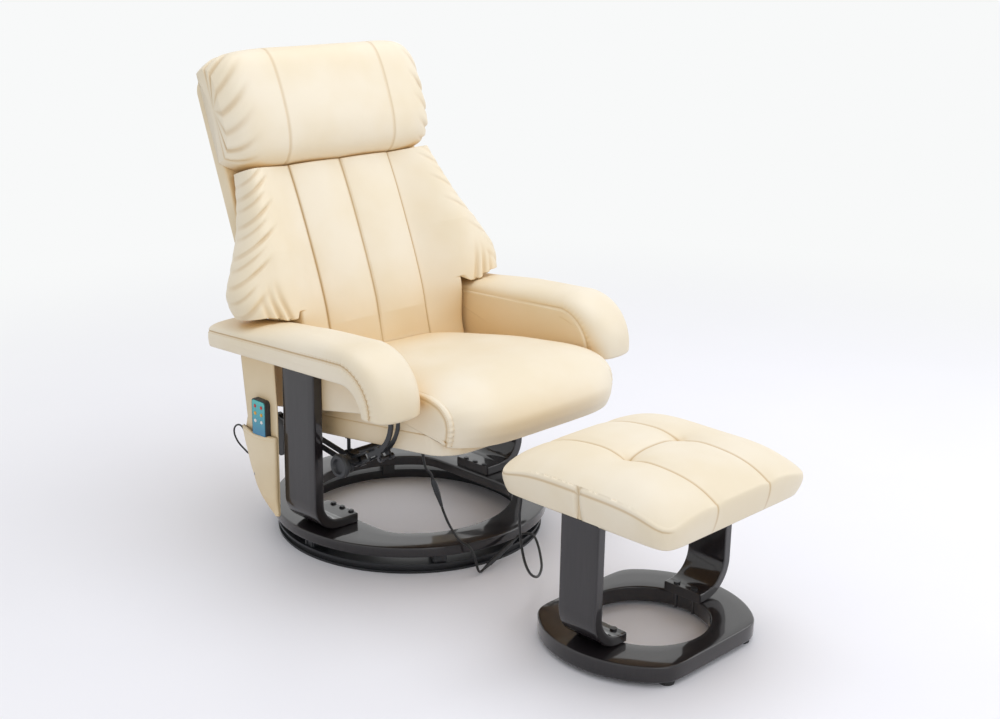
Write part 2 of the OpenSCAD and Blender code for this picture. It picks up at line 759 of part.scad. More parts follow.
module guide_bolts() {
    color("#55565a") for (s = [-1, 1]) on_side(s) for (p = [spacer,
        [guide_rear_y, guide_rear_z]]) {
        along_x(guide_low - spacer_head, p[0], p[1])
            cylinder(h = guide_high - guide_low + 2 * spacer_head, r = spacer_r, $fn = coarse);
        along_x(guide_low - spacer_r * 1.5, p[0], p[1]) cylinder(h = spacer_r * 1.5, r = spacer_head, $fn = 6);
        along_x(guide_high, p[0], p[1]) cylinder(h = spacer_r, r = spacer_head, $fn = coarse);
    }
}

module pivot_bolts() {
    color("#55565a") for (s = [-1, 1]) on_side(s) {
        along_x(waist_half - hinge_t - pivot_r, pivot_y, pivot_z)
            cylinder(h = arm_in_x + panel_t - waist_half + hinge_t + 2 * pivot_r, r = pivot_r, $fn = coarse);
        along_x(waist_half - hinge_t - gap - pivot_r, pivot_y, pivot_z)
            cylinder(h = pivot_r, r = pivot_r * 1.7, $fn = 6);
        along_x(waist_half + hinge_t + gap, pivot_y, pivot_z)
            cylinder(h = arm_in_x - waist_half - hinge_t - gap, r = pivot_r * 1.7, $fn = coarse);
        along_x(arm_in_x + panel_t, pivot_y, pivot_z)
            cylinder(h = pivot_r, r = pivot_r * 1.7, $fn = coarse);
    }
}

// Seat
module seat_place() {
    translate([0, seat_frame_rear, seat_low_z + over]) rotate([-seat_tilt, 0, 0]) children();
}

seat_frame_l = (seat_frame_rear - seat_frame_front) / cos(seat_tilt);

module seat_frame() {
    color("#d9c7a4") seat_place() difference() {
        translate([-seat_half + over, -seat_frame_l, 0])
            cube([2 * (seat_half - over), seat_frame_l, frame_h]);
        translate([-seat_half + over + rail_w, -seat_frame_l + rail_w, -over])
            cube([2 * (seat_half - over - rail_w), seat_frame_l - 2 * rail_w,
                frame_h - seat_panel_t + over]);
        for (s = [-1, 1]) translate([s * seat_motor_x, -seat_frame_l * seat_motor_shares[0], 0])
            cylinder(h = frame_h + over, r = motor_r + gap, $fn = coarse);
    }
}

module seat_motors() {
    color("#1c1c1e") seat_place() for (s = [-1, 1])
        translate([s * seat_motor_x, -seat_frame_l * seat_motor_shares[0], frame_h - motor_l])
            cylinder(h = motor_l, r = motor_r, $fn = coarse);
}

module control_box() {
    color("#1c1c1e") seat_place() translate([-control_l / 2, control_y,
        frame_h - seat_panel_t - control_h]) cube([control_l, control_w, control_h]);
}

function seat_point(share) = [seat_rear_y - share[0] * seat_depth, seat_low_z + share[1] * seat_rise];
function seat_outline(t) = let (mid = seat_mid_shares, side = seat_side_shares,
    top = with_end([for (i = [0:len(mid) - 1]) seat_point(mix(mid[i], side[i], t))], 3),
    lip = top[len(top) - 1],
    under_y = seat_frame_front - seat_lip_in,
    heel = (back_foot_z - seat_low_z) * seat_heel_share,
    base = seat_low_z + over + (frame_h + gap) / cos(seat_tilt))
    concat(top, [[under_y, lip[1] + over],
        [seat_frame_front, base + (seat_frame_rear - seat_frame_front) * tan(seat_tilt)],
        [seat_rear_y - heel, base + (seat_frame_rear - seat_rear_y + heel) * tan(seat_tilt)]]);

module seat_cushion() {
    color("#ecdcba") loft([for (i = [0:seat_stations]) let (u = cos(180 * (1 - i / seat_stations)),
        x = seat_half * u, t = pow(abs(u), seat_edge_power)) [for (p = seat_outline(t)) [x, p[0], p[1]]]]);
}

module slide_clamps() {
    x_hub = guide_high + gap;
    bottom_z = seat_low_z + over + (seat_frame_rear - cross_y) * tan(seat_tilt);
    link_t = guide_low - gap - inner_hub_x;
    color("#303135") for (s = [-1, 1]) on_side(s) {
        difference() {
            union() {
                translate([inner_hub_x, 0, 0]) rotate([90, 0, 90]) linear_extrude(link_t) {
                    stadium([knob_y, knob_z], [cross_y, cross_z], link_r);
                    translate([knob_y, knob_z]) circle(inner_hub_r, $fn = coarse);
                }
                along_x(inner_hub_x, knob_y, knob_z)
                    cylinder(h = x_hub - inner_hub_x + over, r = neck_r, $fn = coarse);
                along_x(guide_low + bar_t + gap, knob_y, knob_z)
                    cylinder(h = guide_gap - bar_t - 2 * gap, r = sleeve_r, $fn = coarse);
                along_x(x_hub, knob_y, knob_z) cylinder(h = hub_t, r = hub_r, $fn = fine);
                translate([stud_x, cross_y, cross_z])
                    cylinder(h = bottom_z - cross_z - over, r = stud_r, $fn = coarse);
                translate([stud_x, cross_y, bottom_z - stud_flange_h - over])
                    cylinder(h = stud_flange_h, r = stud_flange_r, $fn = coarse);
            }
            along_x(inner_hub_x - over, knob_y, knob_z)
                cylinder(h = x_hub + hub_t - inner_hub_x + 2 * over, r = knob_bolt_r + run, $fn = coarse);
        }
    }
}

module cross_tube() {
    color("#303135") difference() {
        along_x(-inner_hub_x, cross_y, cross_z) cylinder(h = 2 * inner_hub_x, r = cross_r, $fn = coarse);
        along_x(-inner_hub_x - over, cross_y, cross_z)
            cylinder(h = 2 * (inner_hub_x + over), r = cross_r - cross_wall, $fn = coarse);
    }
}

module knob(side) {
    start = guide_high + gap + hub_t + gap;
    color("#3b4048") on_side(side) {
        along_x(start, knob_y, knob_z) rotate_extrude($fn = fine)
            polygon([[0, 0], [knob_r - knob_rim, 0], [knob_r - knob_rim / 3, knob_t * 0.25],
                [knob_r, knob_t * 0.45], [knob_r, knob_t * 0.75], [knob_r - knob_rim / 2, knob_t],
                [knob_dish_r, knob_t], [knob_dish_r - knob_rim / 2, knob_t - knob_dish],
                [0, knob_t - knob_dish]]);
        along_x(inner_hub_x + knob_bolt_r * 2, knob_y, knob_z)
            cylinder(h = start - inner_hub_x - knob_bolt_r * 2 + over, r = knob_bolt_r, $fn = coarse);
    }
}

module cord_grommet() {
    p = massage_route[0];
    color("#1c1c1e") difference() {
        translate([p[0], p[1], p[2]]) cylinder(h = grommet_h, r = grommet_r, $fn = coarse);
        seat_place() translate([-seat_half, -seat_frame_l, 0]) cube([2 * seat_half, seat_frame_l, frame_h]);
    }
}

// Back
module back_place() {
    translate([0, back_foot_y, back_foot_z]) rotate([90 - back_lean, 0, 0]) children();
}

module back_outline(inset) {
    w = back_half - inset;
    waist = waist_half - inset;
    top = back_top - inset;
    r = corner_r - inset;
    translate([-waist, back_bottom + inset]) square([2 * waist, top - r - back_bottom]);
    translate([-w, shoulder_v + inset]) square([2 * w, top - r - shoulder_v - inset]);
    translate([-w + r, top - 2 * r]) square([2 * (w - r), 2 * r]);
    for (s = [-1, 1]) translate([s * (w - r), top - r]) circle(r, $fn = fine);
}

module motor_places() {
    for (s = [-1, 1]) for (v = motor_v_shares) translate([s * motor_x, v * back_top, 0]) children();
}

module back_shell() {
    color("#e2d2b2") back_place() difference() {
        linear_extrude(shell_t) back_outline(0);
        translate([0, 0, shell_wall]) linear_extrude(shell_t) back_outline(shell_wall * 2);
    }
}

module back_board() {
    color("#c9a36b") back_place() difference() {
        translate([0, 0, board_n]) linear_extrude(board_t) back_outline(hinge_t + gap);
        motor_places() cylinder(h = pad_n + over, r = motor_r + gap, $fn = coarse);
        nut_notches();
    }
}

module nut_notches() {
    for (s = [-1, 1]) translate([s * waist_half - notch_deep, pivot_v - notch_deep, board_n - over])
        cube([2 * notch_deep, 2 * notch_deep, pivot_n + pivot_r * 3]);
}

module back_motors() {
    color("#1c1c1e") back_place() motor_places() translate([0, 0, board_n + board_t - motor_l])
        cylinder(h = motor_l, r = motor_r, $fn = coarse);
}

module back_hinge_plates() {
    plate_x = waist_half - hinge_t;
    color("#55565a") for (s = [-1, 1]) on_side(s) difference() {
        back_place() {
            translate([plate_x, pivot_v - hinge_half, board_n])
                cube([hinge_t, 2 * hinge_half, pivot_n - board_n + pivot_r * 3]);
            for (v = [pivot_v + notch_deep, pivot_v - hinge_half])
                translate([plate_x - hinge_flange, v, board_n + board_t + gap])
                    cube([hinge_flange, hinge_half - notch_deep, hinge_t - 2 * gap]);
        }
        along_x(plate_x - over, pivot_y, pivot_z)
            cylinder(h = hinge_t + 2 * over, r = pivot_r + run, $fn = coarse);
    }
}

function crown_fade(v) = min(1, max(0, (v - channel_start_v) / channel_fade));

module back_cushion() {
    width = channel_half - gap;
    color("#efdfbd") loft([for (k = [0:channel_stations]) let (
        v = mix(back_bottom, head_low - 4 * gap, k / channel_stations),
        n = at(seam_shares, v / back_top) * head_n)
        concat([for (j = [0:channel_points]) let (x = width * (1 - 2 * j / channel_points))
            on_back(x, v, n + channel_crown * crown_fade(v) * sqrt(abs(sin(180 * x / width))))],
            [on_back(-width, v, pad_n), on_back(width, v, pad_n)])]);
}

function ledge_tilt(v) = ledge_rise * max(0, 1 - v / ledge_reach);
function wing_section(v, half, rear_x) = let (
    n0 = at(seam_shares, v / back_top) * head_n,
    swell = wing_swell * (half > waist_half + over ? min(1, 1.4 - v / back_top) : 0.5),
    lift = half > waist_half + over ? ledge_tilt(v) : 0)
    concat([for (j = [0:bolster_points - 1]) let (u = 1 - j / (bolster_points - 1),
        x = mix(channel_half + gap, half, u),
        n = mix(pad_n * 1.5, n0 + swell * pow(sin(90 * min(1, u * 1.5)), 1.5),
            pow(1 - pow(u, bolster_round_power), 1 / 2.2)))
        on_back(x, v + lift * (1 - n / head_n), n)],
    [on_back(channel_half + gap, v + lift * (1 - pad_n / head_n), pad_n),
    on_back(rear_x, v + lift * (1 - pad_n / head_n), pad_n),
    on_back(rear_x, v + lift * (1 - pad_n * 1.45 / head_n), pad_n * 1.45)]);

module bolster(side) {
    lower = [for (k = [0:4]) let (v = mix(back_bottom, ledge_v - gap, k / 4))
        wing_section(v, waist_half + bolster_over, waist_half - bolster_under)];
    upper = [for (k = [0:12]) let (v = mix(ledge_v, head_low - 4 * gap, k / 12),
        half = at(wing_shares, v / back_top) * wing_half)
        wing_section(v, half, mix(half, channel_half, 0.3))];
    color("#ecdcba") on_side(side) loft(concat(lower, upper));
}

module headrest() {
    profile = with_end(head_shares, 2);
    color("#efdfbd") loft([for (i = [0:head_stations]) let (u = cos(180 * (1 - i / head_stations)),
        x = (head_half - head_round) * u, t = pow(abs(u), 6))
        concat([for (p = profile) let (
            v = mix(p[0], mix(0.5, p[0], 1 - head_end_v_share * 2), t),
            n = mix(p[1], min(p[1], mix(head_end_low_share, p[1], head_end_n_share)), t))
            on_back(x, mix(head_low, head_high, v),
                max(n * head_n, p[0] > head_back_share ? n * head_n : pad_n))],
            [on_back(x, back_top + 2 * gap, pad_lift), on_back(x, back_top + 2 * gap, pad_n)])]);
}

// Pouch and handset
function pouch_point(share) = [pouch_front_y + share[0] * pouch_w, pouch_low_z + share[1] * pouch_h];

module pouch_outline(inset) {
    polygon([for (p = pocket_shares) pouch_point(p) + inset * [p[2], p[3]]]);
}

module pouch_strip() {
    tops = [for (share = strip_top_shares) pouch_front_y + share * pouch_w];
    polygon(concat([[tops[0], arm_line(tops[0]) - gap]], [for (p = strip_shares) pouch_point(p)],
        [[tops[1], arm_line(tops[1]) - gap]]));
}

module pouch() {
    color("#e0d0b0") mirror([1, 0, 0]) {
        translate([pouch_x, 0, 0]) rotate([90, 0, 90]) linear_extrude(pouch_t) pouch_strip();
        difference() {
            translate([pouch_x, 0, 0]) rotate([90, 0, 90])
                linear_extrude(pouch_deep + 2 * pouch_t) pouch_outline(0);
            translate([pouch_x + pouch_t, 0, 0]) rotate([90, 0, 90])
                linear_extrude(pouch_deep) union() {
                    pouch_outline(pouch_t);
                    translate([pouch_front_y + pouch_t, pouch_low_z + pouch_h - mouth_drop])
                        square([pouch_w - over - 2 * pouch_t, mouth_drop * 2]);
                }
        }
    }
}

handset_x = pouch_x + pouch_t + (pouch_deep - handset_t) / 2;

module handset_outline(inset) {
    w = handset_w / 2 - inset;
    r = handset_corner - inset;
    translate([-w + r, inset]) square([2 * (w - r), handset_l - 2 * inset]);
    translate([-w, inset + r]) square([2 * w, handset_l - 2 * (inset + r)]);
    for (s = [-1, 1]) for (z = [inset + r, handset_l - inset - r])
        translate([s * (w - r), z]) circle(r, $fn = coarse);
}

module handset_place() {
    translate([-handset_x, handset_y, handset_z]) rotate([90, 0, -90]) children();
}

module key_places() {
    for (k = [0:5]) translate([(k % 2 == 0 ? -1 : 1) * key_dx,
        key_top_z - handset_z - floor(k / 2) * key_pitch, 0]) children();
}

module handset_case() {
    color("#1a1b1d") handset_place() difference() {
        linear_extrude(handset_t - face_t) handset_outline(0);
        key_places() translate([0, 0, handset_t - key_h - key_travel])
            cylinder(h = key_h * 2, r = key_r + key_play, $fn = coarse);
    }
}

module handset_face() {
    color("#4fb0b8") handset_place() difference() {
        translate([0, 0, handset_t - face_t]) linear_extrude(face_t) handset_outline(face_in);
        key_places() cylinder(h = handset_t + over, r = key_r + key_play, $fn = coarse);
    }
}

module key(k) {
    shades = ["#c8443c", "#c8443c", "#d9a93c", "#d9a93c", "#e8e8e8", "#e8e8e8"];
    color(shades[k - 1]) handset_place()
        translate([((k - 1) % 2 == 0 ? -1 : 1) * key_dx,
            key_top_z - handset_z - floor((k - 1) / 2) * key_pitch,
            handset_t - key_h + key_out]) {
            cylinder(h = key_h - key_r / 4, r = key_r, $fn = coarse);
            translate([0, 0, key_h - key_r / 4]) cylinder(h = key_r / 4, r = key_r * 0.8, $fn = coarse);
        }
}

// Cords
module handset_cord() {
    color("#151515") cord(handset_route, thin_cord_r);
}

module massage_cord() {
    color("#151515") {
        cord(massage_route, cord_r);
        cord(lower_route, cord_r);
    }
}

module between(a, b) {
    d = b - a;
    translate(a) rotate([0, acos(d[2] / norm(d)), atan2(d[1], d[0])]) children();
}

module inline_connector() {
    a = massage_route[len(massage_route) - 1];
    b = lower_route[0];
    l = norm(b - a);
    color("#1a1a1a") between(a, b) rotate_extrude($fn = coarse)
        polygon([[0, gap], [cord_r * 1.2, gap], [cord_r * 2.2, l * 0.12], [cord_r * 2.2, l * 0.55],
            [cord_r * 1.2, l - gap], [0, l - gap]]);
}

plug_split = 0.52;
socket_gap = 0.9;
plug_a = lower_route[len(lower_route) - 1];
plug_b = lead_route[0];

module cord_socket() {
    l = norm(plug_b - plug_a) * plug_split;
    color("#1a1a1a") between(plug_a, plug_b) rotate_extrude($fn = coarse)
        polygon([[0, socket_gap], [cord_r * 0.7, socket_gap], [cord_r * 1.2, socket_gap + cord_r],
            [cord_r * 1.7, l * 0.3], [cord_r * 1.7, l - gap], [0, l - gap]]);
}

module cord_plug() {
    l = norm(plug_b - plug_a) * (1 - plug_split);
    color("#1a1a1a") between(plug_b, plug_a) rotate_extrude($fn = coarse)
        polygon([[0, gap], [cord_r * 1.2, gap], [cord_r * 1.6, l * 0.35], [cord_r * 1.6, l], [0, l]]);
}

module footstool_lead() {
    color("#151515") cord(lead_route, cord_r);
}

// Footstool
module stool_place() {
    translate([stool_x, stool_y, 0]) children();
}

module stool_bolt_places() {
    for (sx = [-1, 1]) for (sy = [-1, 1])
        translate([sx * stool_bolt_x, sy * stool_bolt_y, 0]) children();
}

module footstool_base() {
    color("#231f1e") stool_place() difference() {
        intersection() {
            translate([0, 0, stool_low]) cylinder(h = stool_ring_t, r = stool_ring_r, $fn = fine);
            translate([-stool_ring_r, -stool_flat_y, 0])
                cube([2 * stool_ring_r, 2 * stool_flat_y, stool_top + over]);
        }
        translate([0, 0, stool_low - over])
            cylinder(h = stool_ring_t + 2 * over, r = stool_hole_r, $fn = fine);
        stool_bolt_places() translate([0, 0, stool_low - over])
            cylinder(h = stool_ring_t + 2 * over, r = leg_bolt_r + hole_play, $fn = coarse);
    }
}

module footstool_pads() {
    color("#2c2c2e") stool_place() for (sx = [-1, 1]) for (sy = [-1, 1])
        translate([sx * stool_pad_x, sy * stool_pad_y, 0]) cylinder(h = stool_pad_h, r = stool_pad_r, $fn = coarse);
}

module footstool_legs() {
    color("#241f1d") stool_place() for (s = [-1, 1]) difference() {
        on_side(s) bent_leg(stool_leg_x, stool_top, stool_leg_t, stool_foot_t, stool_bend_r,
            stool_inner_r, stool_foot_end, stool_board_z, stool_leg_w);
        stool_bolt_places() translate([0, 0, stool_top - over])
            cylinder(h = stool_foot_t + 2 * over, r = leg_bolt_r + hole_play, $fn = coarse);
    }
}

module footstool_bolts() {
    color("#4a4a4c") stool_place() stool_bolt_places() {
        translate([0, 0, stool_low])
            cylinder(h = stool_ring_t + stool_foot_t + bolt_head_h / 2, r = leg_bolt_r, $fn = coarse);
        translate([0, 0, stool_top + stool_foot_t]) cylinder(h = bolt_head_h, r = bolt_head_r, $fn = coarse);
    }
}

module footstool_brackets() {
    inner = stool_leg_x - stool_leg_t;
    color("#55565a") stool_place() for (s = [-1, 1]) on_side(s) {
        translate([inner - bracket_t, -bracket_w / 2, stool_board_z - bracket_h])
            cube([bracket_t, bracket_w, bracket_h]);
        translate([inner - bracket_h, -bracket_w / 2, stool_board_z - bracket_t])
            cube([bracket_h, bracket_w, bracket_t]);
    }
}

module footstool_board() {
    color("#c9a36b") stool_place() difference() {
        translate([-stool_w / 2 + stool_board_in, -stool_d / 2 + stool_board_in, stool_board_z])
            cube([stool_w - 2 * stool_board_in, stool_d - 2 * stool_board_in, stool_board_t]);
        translate([0, 0, stool_board_z - over])
            cylinder(h = stool_board_t + 2 * over, r = motor_r + gap, $fn = coarse);
    }
}

module footstool_motor() {
    color("#1c1c1e") stool_place() translate([0, 0, stool_board_z + stool_board_t - motor_l])
        cylinder(h = motor_l, r = motor_r, $fn = coarse);
}

function stool_lift(x, y) = let (
    edge = 1 - pow(abs(2 * x / stool_w), 5) * stool_fall_shares[0]
        - pow(abs(2 * y / stool_d), 4) * stool_fall_shares[1],
    tuft = tuft_deep * (exp(-(pow(x - tuft_x, 2) + y * y) / pow(tuft_r, 2))
        + exp(-(pow(x + tuft_x, 2) + y * y) / pow(tuft_r, 2))),
    side = exp(-pow((abs(x) - tuft_x) / seam_r, 2)),
    cross_seam = abs(x) < tuft_x ? exp(-pow(y / seam_r, 2)) : 0)
    stool_h * edge - tuft - seam_deep * seam_share * (side + cross_seam);

module footstool_cushion() {
    n = stool_cells;
    low = stool_board_z + stool_board_t + gap;
    spread = function (u) sign(u) * (1 - pow(1 - abs(u), 1.25));
    color("#ecdcba") stool_place() loft([for (i = [0:n]) let (u = spread(2 * i / n - 1),
        x = u * stool_w / 2, pull = stool_pull * pow(abs(u), 4))
        concat([for (j = [0:n]) let (w = spread(2 * j / n - 1),
            y = w * (stool_d / 2 - pull)) [x, y, low - stool_board_t + stool_lift(x, y)]],
            [[x, stool_d / 2 - pull - stool_tuck, low], [x, -stool_d / 2 + pull + stool_tuck, low]])]);
}

floor_ring();
swivel_ring();
roller_housings();
roller(1);  // roller_1
roller(2);  // roller_2
roller(3);  // roller_3
roller(4);  // roller_4
roller(5);  // roller_5
roller(6);  // roller_6
leg(-1);  // left_leg
leg(1);  // right_leg
leg_bolts();
arm_panel(-1);  // left_arm_panel
arm_panel(1);  // right_arm_panel
arm_pad(-1);  // left_arm_pad
arm_pad(1);  // right_arm_pad
arm_screws();
guide_bars();
guide_bolts();
pivot_bolts();
seat_frame();
seat_cushion();
slide_clamps();
cross_tube();
knob(-1);  // left_knob
knob(1);  // right_knob
seat_motors();
control_box();
cord_grommet();
back_shell();
back_board();
back_hinge_plates();
back_cushion();
bolster(-1);  // left_bolster
bolster(1);  // right_bolster
headrest();
back_motors();
pouch();
handset_case();
handset_face();
key(1);  // key_1
key(2);  // key_2
key(3);  // key_3
key(4);  // key_4
key(5);  // key_5
key(6);  // key_6
handset_cord();
massage_cord();
inline_connector();
cord_socket();
cord_plug();
footstool_lead();
footstool_base();
footstool_pads();
footstool_legs();
footstool_bolts();
footstool_brackets();
footstool_board();
footstool_cushion();
footstool_motor();
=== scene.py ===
"""Looks of a swivel reclining massage armchair with its matching footstool.

Shapes are worked out in millimetres and put into meshes in metres, in the frame of the solids:
the origin is on the floor on the swivel axis, +Z is up and the sitter faces -Y.
"""

import json
import logging
import math
from dataclasses import dataclass, field
from enum import Enum
from typing import Any, Sequence

import bpy
import numpy as np
from mathutils import Matrix


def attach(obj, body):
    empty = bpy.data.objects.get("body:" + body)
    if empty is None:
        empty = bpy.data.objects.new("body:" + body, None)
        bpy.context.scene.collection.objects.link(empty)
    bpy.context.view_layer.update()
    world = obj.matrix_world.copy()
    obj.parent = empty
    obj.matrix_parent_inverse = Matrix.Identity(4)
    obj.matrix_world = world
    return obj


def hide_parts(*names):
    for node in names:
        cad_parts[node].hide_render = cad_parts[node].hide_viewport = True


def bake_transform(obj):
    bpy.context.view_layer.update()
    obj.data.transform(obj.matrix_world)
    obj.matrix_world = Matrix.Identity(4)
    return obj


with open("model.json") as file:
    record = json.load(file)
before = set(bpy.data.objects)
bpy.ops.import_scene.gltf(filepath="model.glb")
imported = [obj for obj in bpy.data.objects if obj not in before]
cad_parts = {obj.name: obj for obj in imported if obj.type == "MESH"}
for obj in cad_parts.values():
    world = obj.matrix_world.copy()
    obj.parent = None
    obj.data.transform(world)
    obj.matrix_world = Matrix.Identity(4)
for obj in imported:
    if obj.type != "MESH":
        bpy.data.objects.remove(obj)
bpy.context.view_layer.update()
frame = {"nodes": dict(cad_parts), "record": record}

log = logging.getLogger("massage_chair")
MM = 0.001
LEFT = -1.0
RIGHT = 1.0
SIDE_NAMES = {LEFT: "left", RIGHT: "right"}
QUARTER = math.pi / 2
TINY = 1e-9
CURVE_STEPS = 24
TABLE_STEPS = 400
STITCH_PITCH = 4.2
STITCH_LENGTH = 3.0
THREAD_R = 0.55
FOOTSTOOL_CENTRE = (-57.0, -759.5)
SEAT_TILT = math.radians(7.0)
BACK_LOW = -145.0
PAD_TOP = 335.8

Faces = list[tuple[int, ...]]
Point = tuple[float, float, float]
Socket = bpy.types.NodeSocket
Tree = bpy.types.NodeTree


class Body(str, Enum):
    """Bodies of the frame that the pieces ride on."""

    TURNING = "turning_chair"
    SEAT = "seat"
    BACK = "back"
    HANDSET = "handset"
    FOOTSTOOL = "footstool"


# Numbers and arrays


def hex_colour(code: str) -> tuple[float, float, float, float]:
    """Turns an sRGB hex code into linear colour, channel by channel, by the sRGB curve.

    Args:
        code: such as "#E9D5AE".

    Returns:
        Linear red, green, blue and an alpha of 1.
    """
    srgb = np.array([int(code[k:k + 2], 16) for k in (1, 3, 5)]) / 255.0
    linear = np.where(srgb <= 0.04045, srgb / 12.92, ((srgb + 0.055) / 1.055) ** 2.4)
    return (float(linear[0]), float(linear[1]), float(linear[2]), 1.0)


def mix(a: Any, b: Any, t: Any) -> Any:
    """Straight blend from a at t = 0 to b at t = 1."""
    return a + (b - a) * t


def ease(low: float, high: float, x: np.ndarray) -> np.ndarray:
    """Smooth step: 0 below low, 1 above high, 3t^2 - 2t^3 between."""
    t = np.clip((x - low) / (high - low), 0.0, 1.0)
    return t * t * (3.0 - 2.0 * t)


def bump(x: np.ndarray, centre: float, width: float) -> np.ndarray:
    """Bell curve exp(-((x - centre) / width)^2)."""
    return np.exp(-(((x - centre) / width) ** 2))


def signed_power(x: np.ndarray, power: float) -> np.ndarray:
    """Power of the size of x, with the sign of x."""
    return np.sign(x) * np.abs(x) ** power


def quarter(count: int) -> np.ndarray:
    """Even angles from 0 to a right angle."""
    return np.linspace(0.0, QUARTER, count)


def unit(vectors: np.ndarray) -> np.ndarray:
    """The vectors at length 1, along the last axis."""
    return vectors / np.linalg.norm(vectors, axis=-1, keepdims=True)


def lengths_along(points: np.ndarray) -> np.ndarray:
    """Length of a path up to each of its points."""
    return np.concatenate([[0.0], np.cumsum(np.linalg.norm(np.diff(points, axis=0), axis=1))])


def path_length(points: np.ndarray) -> float:
    """Sum of the distances between neighbouring points."""
    return float(np.linalg.norm(np.diff(points, axis=0), axis=1).sum())


def even_path(curve: np.ndarray, count: int, closed: bool = False) -> np.ndarray:
    """Straight-line path resampled at equal lengths.

    Args:
        curve: its points in order; a closed one repeats its first point at the end.
        count: how many points come back.
        closed: leaves out the repeated last point.

    Returns:
        Array (count, dimensions).
    """
    along = lengths_along(curve)
    where = np.linspace(0.0, along[-1], count, endpoint=not closed)
    return np.stack([np.interp(where, along, curve[:, k]) for k in range(curve.shape[1])], axis=1)


def smooth_path(points: Sequence[Sequence[float]], count: int) -> np.ndarray:
    """Curve through the points by the Catmull-Rom formula, resampled at equal lengths.

    Args:
        points: the points, each of two or three numbers.
        count: how many points come back.

    Returns:
        Array (count, dimensions).
    """
    p = np.asarray(points, float)
    wide = np.vstack([2 * p[0] - p[1], p, 2 * p[-1] - p[-2]])
    p0, p1, p2, p3 = wide[:-3], wide[1:-2], wide[2:-1], wide[3:]
    t = np.linspace(0.0, 1.0, CURVE_STEPS, endpoint=False)[None, :, None]
    curve = 0.5 * (2 * p1[:, None] + (p2 - p0)[:, None] * t
                   + (2 * p0 - 5 * p1 + 4 * p2 - p3)[:, None] * t ** 2
                   + (3 * p1 - p0 - 3 * p2 + p3)[:, None] * t ** 3).reshape(-1, p.shape[1])
    return even_path(np.vstack([curve, p[-1:]]), count)


def smooth_table(table: Sequence[Sequence[float]], x: np.ndarray) -> np.ndarray:
    """Looks x up in a table of pairs, with the Catmull-Rom curve between its rows."""
    curve = smooth_path(table, TABLE_STEPS)
    return np.interp(x, curve[:, 0], curve[:, 1])


def offset_outline(outline: np.ndarray, inset: float) -> np.ndarray:
    """Moves a closed outline in the plane inwards by inset, along its normals.

    Args:
        outline: array (n, 2).
        inset: the distance.

    Returns:
        Array (n, 2).
    """
    along = unit(np.roll(outline, -1, 0) - np.roll(outline, 1, 0))
    normal = np.stack([-along[:, 1], along[:, 0]], axis=1)
    x, y = outline[:, 0], outline[:, 1]
    area = float(np.sum(x * np.roll(y, -1) - y * np.roll(x, -1)))
    return outline + normal * inset * (1.0 if area > 0 else -1.0)


def grid_normals(points: np.ndarray) -> np.ndarray:
    """Unit normals of a grid of points whose columns close on themselves, pointing away from its middle."""
    normal = np.cross(np.gradient(points, axis=0), np.roll(points, -1, 1) - np.roll(points, 1, 1))
    normal = normal / np.maximum(np.linalg.norm(normal, axis=-1, keepdims=True), TINY)
    away = np.sum(normal * (points - points.reshape(-1, 3).mean(0)))
    return normal if away > 0 else -normal


def drawn_in(ring: np.ndarray, share: float) -> np.ndarray:
    """The ring drawn in to its middle, to that share of its size."""
    centre = ring.mean(0)
    return centre + (ring - centre) * share


def with_last(ring: np.ndarray, value: float) -> np.ndarray:
    """The ring of pairs with a third place of the same value."""
    return np.column_stack([ring, np.full(len(ring), value)])


def with_first(ring: np.ndarray, value: float) -> np.ndarray:
    """The ring of pairs with a place of the same value before them."""
    return np.column_stack([np.full(len(ring), value), ring])


# Meshes


def as_faces(numbers: np.ndarray) -> Faces:
    """Face tuples from an array whose last axis holds the point numbers of a face."""
    return [tuple(f) for f in numbers.reshape(-1, numbers.shape[-1]).tolist()]


def outward(points: np.ndarray, faces: Faces) -> Faces:
    """Turns all faces round if the volume that they enclose comes out negative."""
    first = np.array([f[:3] for f in faces])
    more = np.array([(f[0], f[2], f[3]) for f in faces if len(f) == 4])
    tri = np.vstack([first, more]) if len(more) else first
    p = points - points.mean(0)
    volume = np.einsum("ij,ij->i", p[tri[:, 0]], np.cross(p[tri[:, 1]], p[tri[:, 2]])).sum()
    return faces if volume > 0 else [tuple(reversed(f)) for f in faces]


def make_piece(name: str, points: np.ndarray, faces: Faces,
               crease: np.ndarray | None = None) -> bpy.types.Object:
    """Puts points in millimetres and faces into a smooth-shaded mesh object.

    Args:
        name: the object's name.
        points: array (n, 3) in millimetres.
        faces: tuples of point numbers.
        crease: for each point from 0 to 1, how deep it lies in a seam or fold; the leatherette is painted
            darker by it, as shade with some seam dirt.

    Returns:
        The object, at the origin.
    """
    mesh = bpy.data.meshes.new(name)
    mesh.from_pydata((points * MM).tolist(), [], outward(points, faces))
    mesh.polygons.foreach_set("use_smooth", np.ones(len(mesh.polygons), bool))
    depth = mesh.attributes.new("crease", "FLOAT", "POINT")
    value = np.zeros(len(points)) if crease is None else crease
    depth.data.foreach_set("value", value.astype(np.float32))
    mesh.update()
    thing = bpy.data.objects.new(name, mesh)
    bpy.context.scene.collection.objects.link(thing)
    return thing


